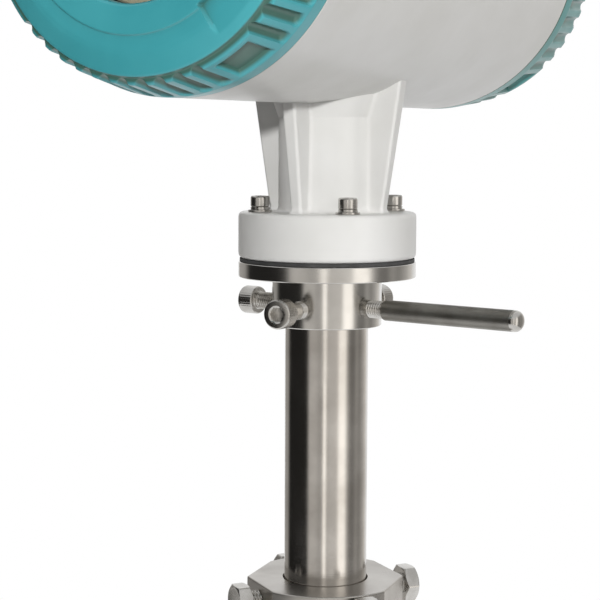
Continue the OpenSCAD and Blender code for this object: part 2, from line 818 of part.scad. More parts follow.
module chassis() {
    ends = [power_board_y, main_board_y, display_board_y, panel_back];
    color("silver") translate([0, 0, axis_z]) difference() {
        union() {
            translate([0, partition_y, 0]) rotate([90, 0, 0]) cylinder(r = board_r, h = plate_t);
            for (i = [0:3]) at_posts() translate([0, partition_y - plate_t / 2, 0])
                rotate([90, 0, 0]) cylinder(r = post_r[i], h = partition_y - plate_t / 2 - ends[i]);
        }
        at_posts() translate([0, panel_back - cut, 0]) rotate([-90, 0, 0])
            cylinder(r = panel_screw_r, h = 8 + cut);
    }
}

module power_board() {
    color("darkgreen") board(power_board_y, board_t, post_r[1] + 0.1);
}
module main_board() {
    color("darkgreen") board(main_board_y, board_t, post_r[2] + 0.1);
}
module display_board() {
    color("darkgreen") board(display_board_y, board_t, post_r[3] + 0.1);
}

module lcd() {
    rear = display_board_y - board_t;
    frame_x = lcd_w + 8;
    frame_z = lcd_h + 6;
    color("darkseagreen") translate([0, 0, axis_z + lcd_z]) {
        translate([-frame_x / 2, panel_back + 0.1, -frame_z / 2])
            cube([frame_x, rear - panel_back - 0.1, frame_z]);
        translate([-lcd_w / 2, panel_back - panel_t / 2, -lcd_h / 2]) cube([lcd_w, panel_t, lcd_h]);
    }
}

module key_places() {
    for (i = [0:3]) translate([(i - 1.5) * key_pitch, 0, axis_z + key_z]) children();
}

module display_panel() {
    color("beige") difference() {
        board(panel_back, panel_t, panel_screw_r + 0.1);
        translate([-lcd_w / 2 - 0.2, panel_y - cut, axis_z + lcd_z - lcd_h / 2 - 0.2])
            cube([lcd_w + 0.4, panel_t + 2 * cut, lcd_h + 0.4]);
        key_places() translate([0, panel_back + cut, 0]) rotate([90, 0, 0])
            cylinder(d = key_d + 0.2, h = panel_t + 2 * cut);
    }
}

module panel_screws() {
    color("silver") translate([0, 0, axis_z]) at_posts() translate([0, panel_y, 0]) rotate([90, 0, 0])
        difference() {
            turned([[0, -panel_t - 6], [panel_screw_r, -panel_t - 6], [panel_screw_r, 0],
                [panel_head_r, 0], [panel_head_r, 1.2], [panel_head_r - 0.8, 1.8], [0, 1.8]]);
            translate([-panel_head_r - cut, -0.4, 1]) cube([2 * panel_head_r + 2 * cut, 0.8, 2]);
        }
}

module key_switches() {
    rear = display_board_y - board_t;
    color("dimgray") key_places() {
        translate([-switch_w / 2, rear - switch_h, -switch_w / 2]) cube([switch_w, switch_h, switch_w]);
    }
}

module key(n) {
    inner = display_board_y - board_t - switch_h - key_travel - 0.1;
    behind = -panel_back - 0.1;
    color("tan") translate([(n - 1.5) * key_pitch, 0, axis_z + key_z]) rotate([90, 0, 0]) turned([
        [0, -inner], [2, -inner], [2, behind - key_flange], [key_d / 2 + key_flange, behind - key_flange],
        [key_d / 2 + key_flange, behind], [key_d / 2, behind], [key_d / 2, -panel_y + 1],
        [key_d / 2 - 0.5, -panel_y + 1.5], [0, -panel_y + 1.5]]);
}
module key_1() { key(0); }
module key_2() { key(1); }
module key_3() { key(2); }
module key_4() { key(3); }

// Terminals in the rear chamber

terminal_block_y = partition_y + partition_t;
terminal_clamp_depth = 6;
terminal_screw_r = 1.5;
terminal_head_r = 2.8;

module terminal_places() {
    for (i = [0:terminal_count - 1])
        translate([(i - (terminal_count - 1) / 2) * terminal_pitch, terminal_block_y, axis_z]) children();
}

module terminal_block() {
    w = terminal_count * terminal_pitch + 4;
    low = terminal_block_deep - terminal_clamp_depth;
    color("dimgray") difference() {
        translate([-w / 2, terminal_block_y, axis_z - terminal_block_h / 2])
            cube([w, terminal_block_deep, terminal_block_h]);
        terminal_places() {
            translate([-terminal_pitch / 2 + 0.8, low, -terminal_block_h])
                cube([terminal_pitch - 1.6, terminal_block_deep, terminal_block_h * 1.25]);
            translate([0, 4, 0]) rotate([-90, 0, 0])
                cylinder(r = terminal_screw_r, h = terminal_block_deep);
        }
    }
}

module terminal_screws() {
    low = terminal_block_deep - terminal_clamp_depth;
    color("silver") terminal_places() rotate([-90, 0, 0]) difference() {
        turned([[0, 5], [terminal_screw_r, 5], [terminal_screw_r, low], [terminal_head_r, low],
            [terminal_head_r, low + 1.6], [terminal_head_r - 0.6, low + 2.2], [0, low + 2.2]]);
        translate([-terminal_head_r - cut, -0.4, low + 1.2]) cube([2 * terminal_head_r + 2 * cut, 0.8, 2]);
    }
}

// Cable glands on the side that faces -X

module gland_body(n) {
    color("silver") at_gland(n) difference() {
        union() {
            translate([0, 0, -gland_thread_len]) cylinder(d = gland_thread_d, h = gland_thread_len + cut);
            hexagon(gland_flats, gland_hex_h);
            translate([0, 0, gland_hex_h - cut]) cylinder(r = gland_neck_r, h = gland_neck_h + cut);
        }
        translate([0, 0, -gland_thread_len - cut])
            cylinder(d = cable_d + 1, h = gland_thread_len + gland_hex_h + 2 * cut);
        translate([0, 0, gland_hex_h]) cylinder(r = gland_seal_r, h = gland_neck_h + cut);
    }
}
module gland_body_1() { gland_body(0); }
module gland_body_2() { gland_body(1); }

module gland_seal(n) {
    color("black") at_gland(n) ring(cable_d / 2, gland_seal_r, gland_hex_h, gland_seal_top);
}
module gland_seal_1() { gland_seal(0); }
module gland_seal_2() { gland_seal(1); }

module gland_nut(n) {
    low = gland_hex_h + gap;
    ledge = gland_seal_top + gap;
    color("silver") at_gland(n) difference() {
        translate([0, 0, low]) hexagon(gland_flats, ledge + gland_nut_wall - low);
        translate([0, 0, low - cut]) cylinder(r = gland_neck_r + fit, h = ledge - low + cut);
        translate([0, 0, low]) cylinder(d = cable_d + 1, h = ledge + gland_nut_wall);
    }
}
module gland_nut_1() { gland_nut(0); }
module gland_nut_2() { gland_nut(1); }

seat_body();
seal_washer();
packing_rings();
packing_follower();
lock_ring();
lock_bolt_1();
lock_bolt_2();
lock_bolt_3();
lock_bolt_4();
stem_tube();
sensor_tip();
electrodes();
coil_core();
coil();
lead_bundle();
collar();
handle();
clamp_screw_1();
clamp_screw_2();
clamp_screw_3();
steel_flange();
gasket();
housing();
flange_screws();
spring_washers();
flat_washers();
front_cover();
front_seal_ring();
window_glass();
window_seal();
window_ring();
rear_cover();
rear_seal_ring();
chassis();
power_board();
main_board();
display_board();
lcd();
display_panel();
panel_screws();
key_switches();
key_1();
key_2();
key_3();
key_4();
terminal_block();
terminal_screws();
gland_body_1();
gland_body_2();
gland_seal_1();
gland_seal_2();
gland_nut_1();
gland_nut_2();
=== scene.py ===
"""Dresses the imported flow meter: turned steel, painted castings, threads, materials, lights and camera."""
import math

import bmesh
import bpy
import numpy as np
from mathutils import Matrix, Vector


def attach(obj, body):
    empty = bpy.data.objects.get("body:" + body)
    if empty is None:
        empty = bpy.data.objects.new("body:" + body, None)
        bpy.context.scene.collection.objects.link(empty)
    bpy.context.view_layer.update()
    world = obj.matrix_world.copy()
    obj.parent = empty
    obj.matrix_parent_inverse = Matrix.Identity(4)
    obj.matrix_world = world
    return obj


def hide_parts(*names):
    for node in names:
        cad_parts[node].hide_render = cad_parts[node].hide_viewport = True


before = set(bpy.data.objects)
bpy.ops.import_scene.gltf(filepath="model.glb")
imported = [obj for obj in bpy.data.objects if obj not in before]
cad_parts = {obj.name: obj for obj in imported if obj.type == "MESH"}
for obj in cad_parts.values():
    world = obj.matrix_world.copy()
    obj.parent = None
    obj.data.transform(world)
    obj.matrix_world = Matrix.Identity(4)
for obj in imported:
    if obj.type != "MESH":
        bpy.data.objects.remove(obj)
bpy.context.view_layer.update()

MM = 0.001
DEG = math.pi / 180

# Main sizes of the part, in mm, as in its source
STEM_R = 19.0
TUBE_BOTTOM = -116.0
TIP_BOTTOM = -150.0
RING_BOTTOM, RING_TOP = 21.0, 57.0
BOLT_Z = 49.0
COLLAR_BOTTOM, COLLAR_TOP = 174.5, 196.5
CLAMP_Z = 183.2
FLANGE_R = 40.4
STEEL_TOP = 203.5
CAST_BOTTOM, CAST_TOP = 205.1, 226.1
FLANGE_CIRCLE_R = 31.5
AXIS_Z = 350.9
COVER_RING = 7.6
BARREL_R = 76.5
CAVITY_R, MOUTH_R = 70.5, 71.0
FRONT_Y, REAR_Y = -119.0, 108.0
PARTITION_Y, PARTITION_T = 22.0, 5.0
BOLT_DIRS = [-36, 54, 144, 234]
CLAMP_DIRS = [1, -97, 174]
HANDLE_DIR = 81


# Materials

def new_material(name):
    mat = bpy.data.materials.new(name)
    mat.use_nodes = True
    nodes = mat.node_tree.nodes
    nodes.clear()
    out = nodes.new("ShaderNodeOutputMaterial")
    shader = nodes.new("ShaderNodeBsdfPrincipled")
    mat.node_tree.links.new(shader.outputs[0], out.inputs[0])
    return mat, nodes, mat.node_tree.links, shader


def mapped_noise(nodes, links, scale, stretch=(1, 1, 1), detail=3.0, rough=0.5):
    """Noise over object coordinates; scale is in 1/m and stretch multiplies it along each axis."""
    coord = nodes.new("ShaderNodeTexCoord")
    mapping = nodes.new("ShaderNodeMapping")
    mapping.inputs["Scale"].default_value = stretch
    noise = nodes.new("ShaderNodeTexNoise")
    noise.inputs["Scale"].default_value = scale
    noise.inputs["Detail"].default_value = detail
    noise.inputs["Roughness"].default_value = rough
    links.new(coord.outputs["Object"], mapping.inputs["Vector"])
    links.new(mapping.outputs[0], noise.inputs["Vector"])
    return noise.outputs["Fac"]


def remap(nodes, links, source, low, high, start=0.3, end=0.7):
    node = nodes.new("ShaderNodeMapRange")
    node.inputs["From Min"].default_value = start
    node.inputs["From Max"].default_value = end
    node.inputs["To Min"].default_value = low
    node.inputs["To Max"].default_value = high
    links.new(source, node.inputs["Value"])
    return node.outputs[0]


def colour_mix(nodes, links, source, dark, light, start=0.35, end=0.65):
    ramp = nodes.new("ShaderNodeValToRGB")
    ramp.color_ramp.elements[0].position = start
    ramp.color_ramp.elements[1].position = end
    ramp.color_ramp.elements[0].color = (*dark, 1)
    ramp.color_ramp.elements[1].color = (*light, 1)
    links.new(source, ramp.inputs["Fac"])
    return ramp.outputs["Color"]


def add_bump(nodes, links, shader, source, strength, distance):
    bump = nodes.new("ShaderNodeBump")
    bump.inputs["Strength"].default_value = strength
    bump.inputs["Distance"].default_value = distance
    links.new(source, bump.inputs["Height"])
    links.new(bump.outputs[0], shader.inputs["Normal"])


def add_math(nodes, links, operation, first, second=None, value=None):
    node = nodes.new("ShaderNodeMath")
    node.operation = operation
    links.new(first, node.inputs[0])
    if second is not None:
        links.new(second, node.inputs[1])
    if value is not None:
        node.inputs[1].default_value = value
    return node.outputs[0]


CREST_TAPER = 0.195
# Bands where the covers' painted shade in the grooves and the dark joint line fade out, in mm
GROOVE_BAND = (74.9, 76.1)
FACE_EDGE = (69.2, 69.6)
JOINT_LINE = (0.5, 0.9)


def sunk_below_crest(nodes, links, root_y, outwards):
    """1 where a cover gets painted shade (grooves, pockets, shoulder) and on its dark joint line, 0 on its ribs
    and face; it starts at root_y.
    """
    place = nodes.new("ShaderNodeSeparateXYZ")
    links.new(nodes.new("ShaderNodeTexCoord").outputs["Object"], place.inputs[0])
    up = add_math(nodes, links, "SUBTRACT", place.outputs["Z"], value=AXIS_Z * MM)
    across = add_math(nodes, links, "MULTIPLY", place.outputs["X"], place.outputs["X"])
    radius = add_math(nodes, links, "SQRT", add_math(nodes, links, "ADD", across,
                                                     add_math(nodes, links, "MULTIPLY", up, up)))
    along = add_math(nodes, links, "MULTIPLY_ADD", place.outputs["Y"], value=outwards)
    along.node.inputs[2].default_value = -(outwards * root_y + COVER_RING) * MM
    taper = add_math(nodes, links, "MULTIPLY", add_math(nodes, links, "MAXIMUM", along, value=0.0),
                     value=CREST_TAPER)
    crest_line = add_math(nodes, links, "ADD", radius, taper)
    sunk = remap(nodes, links, crest_line, 1.0, 0.0, GROOVE_BAND[0] * MM, GROOVE_BAND[1] * MM)
    outside_face = remap(nodes, links, radius, 0.0, 1.0, FACE_EDGE[0] * MM, FACE_EDGE[1] * MM)
    joint_line = remap(nodes, links, along, 1.0, 0.0, (JOINT_LINE[0] - COVER_RING) * MM,
                       (JOINT_LINE[1] - COVER_RING) * MM)
    sunk = add_math(nodes, links, "MAXIMUM", sunk, joint_line)
    return add_math(nodes, links, "MULTIPLY", sunk, outside_face)


def paint(name, dark, light, roughness, peel=0.01, coat=0.15, hollow=None, cover=None):
    """Gloss paint on a casting, with a soft orange peel; hollow is painted shade for a cover's grooves and its
    dark joint line.
    """
    mat, nodes, links, shader = new_material(name)
    colour = colour_mix(nodes, links, mapped_noise(nodes, links, 28), dark, light)
    if hollow:
        # Painted shade: the hollow colour darkens what ambient occlusion finds closed in and what lies sunk
        # below the ribs' crest; the same mask carries the dark joint line
        openness = nodes.new("ShaderNodeAmbientOcclusion")
        openness.samples = 8
        openness.only_local = True
        openness.inputs["Distance"].default_value = 0.006
        groove_shade_and_joint_mix = nodes.new("ShaderNodeMix")
        groove_shade_and_joint_mix.data_type = "RGBA"
        colour_a, colour_b = groove_shade_and_joint_mix.inputs[6], groove_shade_and_joint_mix.inputs[7]
        shade_and_joint_factor = remap(nodes, links, openness.outputs["AO"], 1.0, 0.0, 0.45, 0.95)
        shade_and_joint_factor = add_math(nodes, links, "MAXIMUM", shade_and_joint_factor, sunk_below_crest(nodes, links, *cover))
        links.new(shade_and_joint_factor, groove_shade_and_joint_mix.inputs["Factor"])
        links.new(colour, colour_a)
        colour_b.default_value = (*hollow, 1)
        colour = groove_shade_and_joint_mix.outputs[2]
    links.new(colour, shader.inputs["Base Color"])
    links.new(remap(nodes, links, mapped_noise(nodes, links, 90), roughness - 0.04, roughness + 0.05),
              shader.inputs["Roughness"])
    shader.inputs["Coat Weight"].default_value = coat
    shader.inputs["Coat Roughness"].default_value = 0.2
    add_bump(nodes, links, shader, mapped_noise(nodes, links, 240, detail=1), peel, 0.001)
    return mat


def metal(name, dark, light, rough_low, rough_high, stretch=(1, 1, 60), line_scale=60, line=0.04, blotch=45):
    """Turned or brushed metal: fine lines across the stretched axis, with smudges in tone and gloss."""
    mat, nodes, links, shader = new_material(name)
    shader.inputs["Metallic"].default_value = 1.0
    lines = mapped_noise(nodes, links, line_scale, stretch, detail=4)
    links.new(colour_mix(nodes, links, mapped_noise(nodes, links, blotch, detail=4), dark, light),
              shader.inputs["Base Color"])
    links.new(remap(nodes, links, mapped_noise(nodes, links, blotch * 0.8, (1, 1, 0.6), detail=5),
                    rough_low, rough_high), shader.inputs["Roughness"])
    add_bump(nodes, links, shader, lines, line, 0.0004)
    return mat


def plain(name, dark, light, roughness, scale=150, bump=0.1, metallic=0.0):
    """Plastic, rubber or plain inner metal with a fine surface grain."""
    mat, nodes, links, shader = new_material(name)
    shader.inputs["Metallic"].default_value = metallic
    source = mapped_noise(nodes, links, scale)
    links.new(colour_mix(nodes, links, source, dark, light), shader.inputs["Base Color"])
    links.new(remap(nodes, links, source, roughness - 0.05, roughness + 0.05), shader.inputs["Roughness"])
    add_bump(nodes, links, shader, mapped_noise(nodes, links, scale * 8), bump, 0.0003)
    return mat


def clear_glass(name):
    mat, nodes, links, shader = new_material(name)
    nodes.remove(shader)
    out = nodes["Material Output"]
    see_through = nodes.new("ShaderNodeBsdfTransparent")
    see_through.inputs["Color"].default_value = (0.93, 0.96, 0.95, 1)
    gloss = nodes.new("ShaderNodeBsdfGlossy")
    gloss.inputs["Roughness"].default_value = 0.02
    fresnel = nodes.new("ShaderNodeFresnel")
    fresnel.inputs["IOR"].default_value = 1.45
    mix = nodes.new("ShaderNodeMixShader")
    links.new(fresnel.outputs[0], mix.inputs[0])
    links.new(see_through.outputs[0], mix.inputs[1])
    links.new(gloss.outputs[0], mix.inputs[2])
    links.new(mix.outputs[0], out.inputs[0])
    return mat


GREY_PAINT = paint("grey_paint", (0.605, 0.60, 0.58), (0.645, 0.64, 0.625), 0.36)
# The last colour of each cover paint is painted shade in the cover's grooves, pockets and shoulder
TEAL_PAINT = paint("teal_paint", (0.045, 0.31, 0.35), (0.056, 0.345, 0.385), 0.36, 0.03, 0.25,
                   (0.048, 0.125, 0.1), (FRONT_Y, -1))
# The rear cover's paint is the front's teal painted darker and greener, as painted shade
REAR_PAINT_IN_SHADE = paint("rear_cover_paint_in_shade", (0.052, 0.24, 0.235), (0.062, 0.27, 0.265), 0.36, 0.03, 0.25,
                   (0.05, 0.11, 0.08), (REAR_Y, 1))
STEM_STEEL = metal("stem_steel", (0.50, 0.475, 0.445), (0.64, 0.615, 0.585), 0.09, 0.24, line=0.08)
TURNED_STEEL = metal("turned_steel", (0.56, 0.545, 0.52), (0.70, 0.685, 0.66), 0.12, 0.24)
RING_STEEL = metal("ring_steel", (0.42, 0.40, 0.375), (0.52, 0.50, 0.47), 0.25, 0.4, line=0.08)
SEAT_STEEL = metal("seat_steel", (0.46, 0.44, 0.42), (0.58, 0.56, 0.53), 0.2, 0.34, line=0.06)
SCREW_STEEL = metal("screw_steel", (0.48, 0.465, 0.44), (0.62, 0.605, 0.58), 0.18, 0.3, (1, 1, 1), 900, 0.05,
                    120)
HANDLE_STEEL = metal("handle_steel", (0.25, 0.24, 0.22), (0.34, 0.33, 0.305), 0.38, 0.5, (0.12, 2, 2), 420,
                     0.12, 80)
NICKEL = metal("nickel_plate", (0.52, 0.50, 0.45), (0.64, 0.62, 0.57), 0.18, 0.3, (1, 1, 1), 800, 0.05, 100)
INNER_METAL = plain("inner_aluminium", (0.42, 0.42, 0.42), (0.5, 0.5, 0.5), 0.4, metallic=1.0)
COPPER = metal("varnished_copper", (0.45, 0.17, 0.07), (0.6, 0.26, 0.11), 0.25, 0.35, (1, 1, 30), 120, 0.3)
IRON = plain("soft_iron", (0.08, 0.08, 0.08), (0.13, 0.13, 0.13), 0.5, metallic=1.0)
BLACK_RUBBER = plain("black_rubber", (0.012, 0.012, 0.012), (0.025, 0.025, 0.025), 0.55)
GASKET_RUBBER = plain("gasket_rubber", (0.035, 0.035, 0.035), (0.06, 0.06, 0.06), 0.7)
FIBRE = plain("seal_fibre", (0.09, 0.085, 0.08), (0.15, 0.14, 0.13), 0.8, 300, 0.3)
TIP_PLASTIC = plain("tip_plastic", (0.66, 0.64, 0.56), (0.72, 0.70, 0.62), 0.42, 120, 0.05)
PACKING = plain("packing_plastic", (0.68, 0.68, 0.64), (0.78, 0.78, 0.74), 0.5, 400, 0.3)
BOARD = plain("board_laminate", (0.008, 0.07, 0.035), (0.015, 0.11, 0.055), 0.35, 200, 0.15)
PANEL = plain("panel_plastic", (0.50, 0.42, 0.31), (0.56, 0.475, 0.36), 0.45, 300, 0.12)
LCD_FACE = plain("lcd_face", (0.10, 0.13, 0.085), (0.13, 0.165, 0.105), 0.12, 60, 0.0)
KEY_PLASTIC = plain("key_plastic", (0.05, 0.05, 0.05), (0.075, 0.075, 0.075), 0.35, 300, 0.08)
DARK_PLASTIC = plain("dark_plastic", (0.02, 0.02, 0.02), (0.035, 0.035, 0.035), 0.5, 300, 0.1)
GLASS = clear_glass("window_glass")


# Helpers for geometry

def at_origin():
    return Matrix.Identity(4)


def radial(direction, z):
    """Local +Z points outwards in a direction given from -Y towards +X."""
    return (Matrix.Translation((0, 0, z)) @ Matrix.Rotation(direction * DEG, 4, "Z")
            @ Matrix.Rotation(90 * DEG, 4, "X"))


FRONT = Matrix.Translation((0, FRONT_Y, AXIS_Z)) @ Matrix.Rotation(90 * DEG, 4, "X")
REAR = Matrix.Translation((0, REAR_Y, AXIS_Z)) @ Matrix.Rotation(-90 * DEG, 4, "X")


def at_flange_screw(n):
    a = (45 + 90 * n) * DEG
    return Matrix.Translation((FLANGE_CIRCLE_R * math.cos(a), FLANGE_CIRCLE_R * math.sin(a), 0))


def at_gland(n):
    return Matrix.Translation((-80.5, 46 + 32 * n, AXIS_Z)) @ Matrix.Rotation(-90 * DEG, 4, "Y")


def finish_mesh(name, verts, faces, matrix, mat, body, slot, replaced, smooth=38, weighted=True):
    mesh = bpy.data.meshes.new(name)
    mesh.from_pydata([tuple(v) for v in verts], [], faces)
    mesh.transform(Matrix.Scale(MM, 4) @ matrix)
    bm = bmesh.new()
    bm.from_mesh(mesh)
    bmesh.ops.remove_doubles(bm, verts=bm.verts, dist=1e-6)
    bmesh.ops.recalc_face_normals(bm, faces=bm.faces)
    bm.to_mesh(mesh)
    bm.free()
    mesh.shade_smooth()
    mesh.set_sharp_from_angle(angle=smooth * DEG)
    obj = bpy.data.objects.new(name, mesh)
    bpy.context.scene.collection.objects.link(obj)
    mesh.materials.append(mat)
    if weighted:
        modifier = obj.modifiers.new("weighted", "WEIGHTED_NORMAL")
        modifier.keep_sharp = True
    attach(obj, body)
    if replaced:
        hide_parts(*replaced)
    return obj


def grid_faces(rows, columns, loop=False):
    """Quads between rings of columns points; loop joins the last ring to the first."""
    faces = []
    for i in range(rows if loop else rows - 1):
        a, b = i * columns, ((i + 1) % rows) * columns
        for j in range(columns):
            k = (j + 1) % columns
            faces.append((a + j, a + k, b + k, b + j))
    return faces


def rings(name, rows, matrix, mat, body, slot, replaced=(), loop=False, **options):
    """A skin through rings: rows is an array of rings of points, in mm, drawn about local +Z."""
    rows = np.asarray(rows, float)
    count, columns = rows.shape[:2]
    return finish_mesh(name, rows.reshape(-1, 3), grid_faces(count, columns, loop), matrix, mat, body, slot,
                       replaced, **options)


def circle_rows(profile, columns):
    """Rings of a turned shape: profile is a list of (radius, height)."""
    angle = np.arange(columns) * 2 * math.pi / columns
    return [np.stack([r * np.cos(angle), r * np.sin(angle), np.full(columns, h)], 1) for r, h in profile]


def eased(points, radius, closed=False, steps=4):
    """The outline with each corner rounded to about radius."""
    points = [np.array(p, float) for p in points]
    out = []
    last = len(points) - 1
    for i, p in enumerate(points):
        if not closed and i in (0, last):
            out.append(p)
            continue
        a, b = points[i - 1] - p, points[(i + 1) % len(points)] - p
        la, lb = np.linalg.norm(a), np.linalg.norm(b)
        turn = math.acos(max(-1, min(1, float(a @ b) / (la * lb))))
        reach = min(radius / math.tan(turn / 2) if turn > 0.01 else 0, 0.45 * la, 0.45 * lb)
        if math.pi - turn < 0.15:
            out.append(p)
            continue
        start, end = p + a / la * reach, p + b / lb * reach
        for k in range(steps + 1):
            t = k / steps
            out.append((1 - t) ** 2 * start + 2 * t * (1 - t) * p + t ** 2 * end)
    return [tuple(p) for p in out]


def lathe(name, points, radius, matrix, mat, body, slot, replaced=(), columns=96, closed=False, steps=4):
    """A turned piece with eased corners; closed for rings, open from axis to axis for rods."""
    rows = circle_rows(eased(points, radius, closed, steps), columns)
    return rings(name, rows, matrix, mat, body, slot, replaced, loop=closed)


def thread_rows(low, high, r, pitch, columns, per_turn=8, fade=0.6):
    """Rings of a helical thread with its crest at r, fading out towards its ends."""
    angle = np.arange(columns) * 2 * math.pi / columns
    depth = 0.55 * pitch
    rows = []
    count = max(4, round((high - low) / pitch * per_turn))
    for i in range(count + 1):
        h = low + (high - low) * i / count
        wave = np.abs(((h / pitch - angle / (2 * math.pi)) % 1) * 2 - 1)
        groove = np.clip((wave - 0.12) / 0.76, 0, 1)
        ends = min(1, (h - low) / (fade * pitch), (high - h) / (fade * pitch))
        radius = r - depth * groove * max(0, ends)
        rows.append(np.stack([radius * np.cos(angle), radius * np.sin(angle), np.full(columns, h)], 1))
    return rows


def hexagon_radius(flats, columns):
    """Distance from the axis to a hexagon's edge, for each column."""
    angle = np.arange(columns) * 360 / columns
    return flats / 2 / np.cos(((angle % 60) - 30) * DEG)


def hexagon_rows(flats, low, high, columns, bevel_low=True, bevel_high=True):
    """Rings of a hexagon prism whose corners are turned off at the ends."""
    edge = hexagon_radius(flats, columns)
    angle = np.arange(columns) * 2 * math.pi / columns
    corner = flats / 2 * 1.1547
    bevel = (high - low) * 0.12
    rows = []
    steps = [0, 0.2, 0.45, 0.7, 1.0]
    heights = [low + bevel * s for s in steps] if bevel_low else [low]
    heights += [high - bevel * s for s in reversed(steps)] if bevel_high else [high]
    for h in heights:
        limit = corner * 0.992
        if bevel_low:
            limit = min(limit, flats / 2 + (corner - flats / 2) * (h - low) / bevel)
        if bevel_high:
            limit = min(limit, flats / 2 + (corner - flats / 2) * (high - h) / bevel)
        radius = np.minimum(edge, limit)
        rows.append(np.stack([radius * np.cos(angle), radius * np.sin(angle), np.full(columns, h)], 1))
    return rows


# Screws

def hex_bolt(name, matrix, tip, length, r, pitch, flats, head_h, mat, body, slot, replaced):
    """Hexagon bolt, threaded along its whole shank."""
    columns = 96
    low = tip
    high = tip + length
    rows = circle_rows([(0, low), (r - 1.1, low), (r - 0.4, low + 0.7)], columns)
    rows += thread_rows(low + 0.9, high - 0.2, r, pitch, columns)
    rows += circle_rows([(r - 0.1, high), (flats / 2 - 0.6, high)], columns)
    rows += hexagon_rows(flats, high, high + head_h, columns)
    rows += circle_rows([(flats / 2 - 1.0, high + head_h), (flats / 2 - 1.5, high + head_h - 0.15),
                         (0, high + head_h - 0.15)], columns)
    return rings(name, rows, matrix, mat, body, slot, replaced)


def socket_screw(name, matrix, tip, length, r, pitch, thread_to, head_r, head_h, rib, mat, body, slot, replaced):
    """Cap screw with a hexagon socket; the head's ribs are rib deep, the shank is plain above thread_to."""
    columns = 144
    angle = np.arange(columns) * 2 * math.pi / columns
    high = tip + length
    top = high + head_h
    ripple = rib * (0.5 + 0.5 * np.cos(36 * angle))
    rows = circle_rows([(0, tip), (r - 0.9, tip), (r - 0.3, tip + 0.6)], columns)
    rows += thread_rows(tip + 0.8, tip + thread_to, r, pitch, columns)
    rows += circle_rows([(r - 0.02, tip + thread_to + 0.05), (r - 0.02, high - 0.3), (r + 0.3, high)], columns)
    rows += circle_rows([(head_r - 0.5, high), (head_r - 0.2, high + 0.25)], columns)
    for h, depth in [(high + 0.6, 1.0), (top - 1.5, 1.0), (top - 1.2, 0.4), (top - 0.9, 0.0)]:
        radius = head_r - ripple * depth
        rows.append(np.stack([radius * np.cos(angle), radius * np.sin(angle), np.full(columns, h)], 1))
    rows += circle_rows([(head_r - 0.12, top - 0.45), (head_r - 0.4, top - 0.12), (head_r - 0.8, top)], columns)
    socket = head_r * 0.53
    rows += circle_rows([(socket + 0.5, top), (socket + 0.12, top - 0.3)], columns)
    inner = np.minimum(hexagon_radius(socket * 2 * math.cos(30 * DEG), columns), socket * 0.99)
    for h in (top - 0.5, top - head_h * 0.5):
        rows.append(np.stack([inner * np.cos(angle), inner * np.sin(angle), np.full(columns, h)], 1))
    rows += circle_rows([(socket * 0.8, top - head_h * 0.5), (0, top - head_h * 0.62)], columns)
    return rings(name, rows, matrix, mat, body, slot, replaced)


# Screw covers

RECESS_R, RECESS_DEPTH = 2.7, 2.6
POCKET_HALF = 16 / 2 - 1.456
PITCH_ANGLE = (90 - 16) / 11
POCKET_DIR = 58.3
NOTCH_DIR = 44.5
SPIGOT_R = 70.95
COVER_BORE_R = 65.95
NOTCH_INNER_R = 52.9
COVER_COLUMNS = 720


def soft_min(a, b, k):
    """The smaller of two values, blended over a width of about k."""
    return 0.5 * (a + b - np.sqrt((a - b) ** 2 + k * k))


def crest(h, end_r, end_h):
    """Radius of a cover's ribs at height h above its joint."""
    return BARREL_R - (BARREL_R - end_r) * (h - COVER_RING) / (end_h - COVER_RING)


def grip_depth(theta, h, end_h, turn):
    """Depth of the recesses and long pockets at an angle (degrees) and height."""
    local = (theta - turn) % 90
    from_pocket = np.minimum(local, 90 - local)
    arc = BARREL_R * DEG
    start = COVER_RING + RECESS_R + 0.4
    index = np.clip(np.round((local - 8) / PITCH_ANGLE - 0.5), 0, 10)
    x = (local - (8 + (index + 0.5) * PITCH_ANGLE)) * arc
    rho = np.sqrt(x ** 2 + max(0.0, start - h) ** 2) / RECESS_R
    groove = np.where(rho < 1, RECESS_R * np.sqrt(np.maximum(0, 1 - rho ** 2)) - 0.1, -(rho - 1) * 4 - 0.1)
    low, high = COVER_RING + 1.4, end_h - 2
    side = (POCKET_HALF - from_pocket) * arc * 2.4
    pocket = np.minimum(np.minimum(side, RECESS_DEPTH), min((h - low) * 2.4, (high - h) * 2.0) + 0.3)
    in_pocket = from_pocket < 8
    depth = np.where(in_pocket, pocket, groove)
    return 0.5 * (depth + np.sqrt(depth ** 2 + 0.45)) - 0.06


def cover_rows(outer, end_r, end_h, turn):
    """Rings of a cover's outside up to its rim, cut by the grip."""
    theta = np.arange(COVER_COLUMNS) * 360 / COVER_COLUMNS
    angle = theta * DEG
    rows = []
    for r, h in outer:
        radius = np.full(COVER_COLUMNS, float(r))
        if h > COVER_RING + 0.2:
            floor = crest(h, end_r, end_h) - grip_depth(theta, h, end_h, turn)
            radius = soft_min(radius, floor + 0.12, 0.3) if h < end_h + 6 else radius
            radius = np.minimum(radius, r)
        rows.append(np.stack([radius * np.cos(angle), radius * np.sin(angle), np.full(COVER_COLUMNS, h)], 1))
    return rows


def notched_rows(face, floor_h, turn, inner):
    """Rings of a cover's face with three sunk flats for a wrench."""
    theta = np.arange(COVER_COLUMNS) * 360 / COVER_COLUMNS
    angle = theta * DEG
    away = np.abs((theta - turn + 60) % 120 - 60)
    rows = []
    for r, h in face:
        inside = np.minimum((12 - away) * r * DEG, r - inner)
        blend = np.clip(inside / 0.7 + 0.5, 0, 1)
        blend = blend * blend * (3 - 2 * blend)
        height = h - np.maximum(0, h - floor_h) * blend
        rows.append(np.stack([r * np.cos(angle), r * np.sin(angle), height], 1))
    return rows


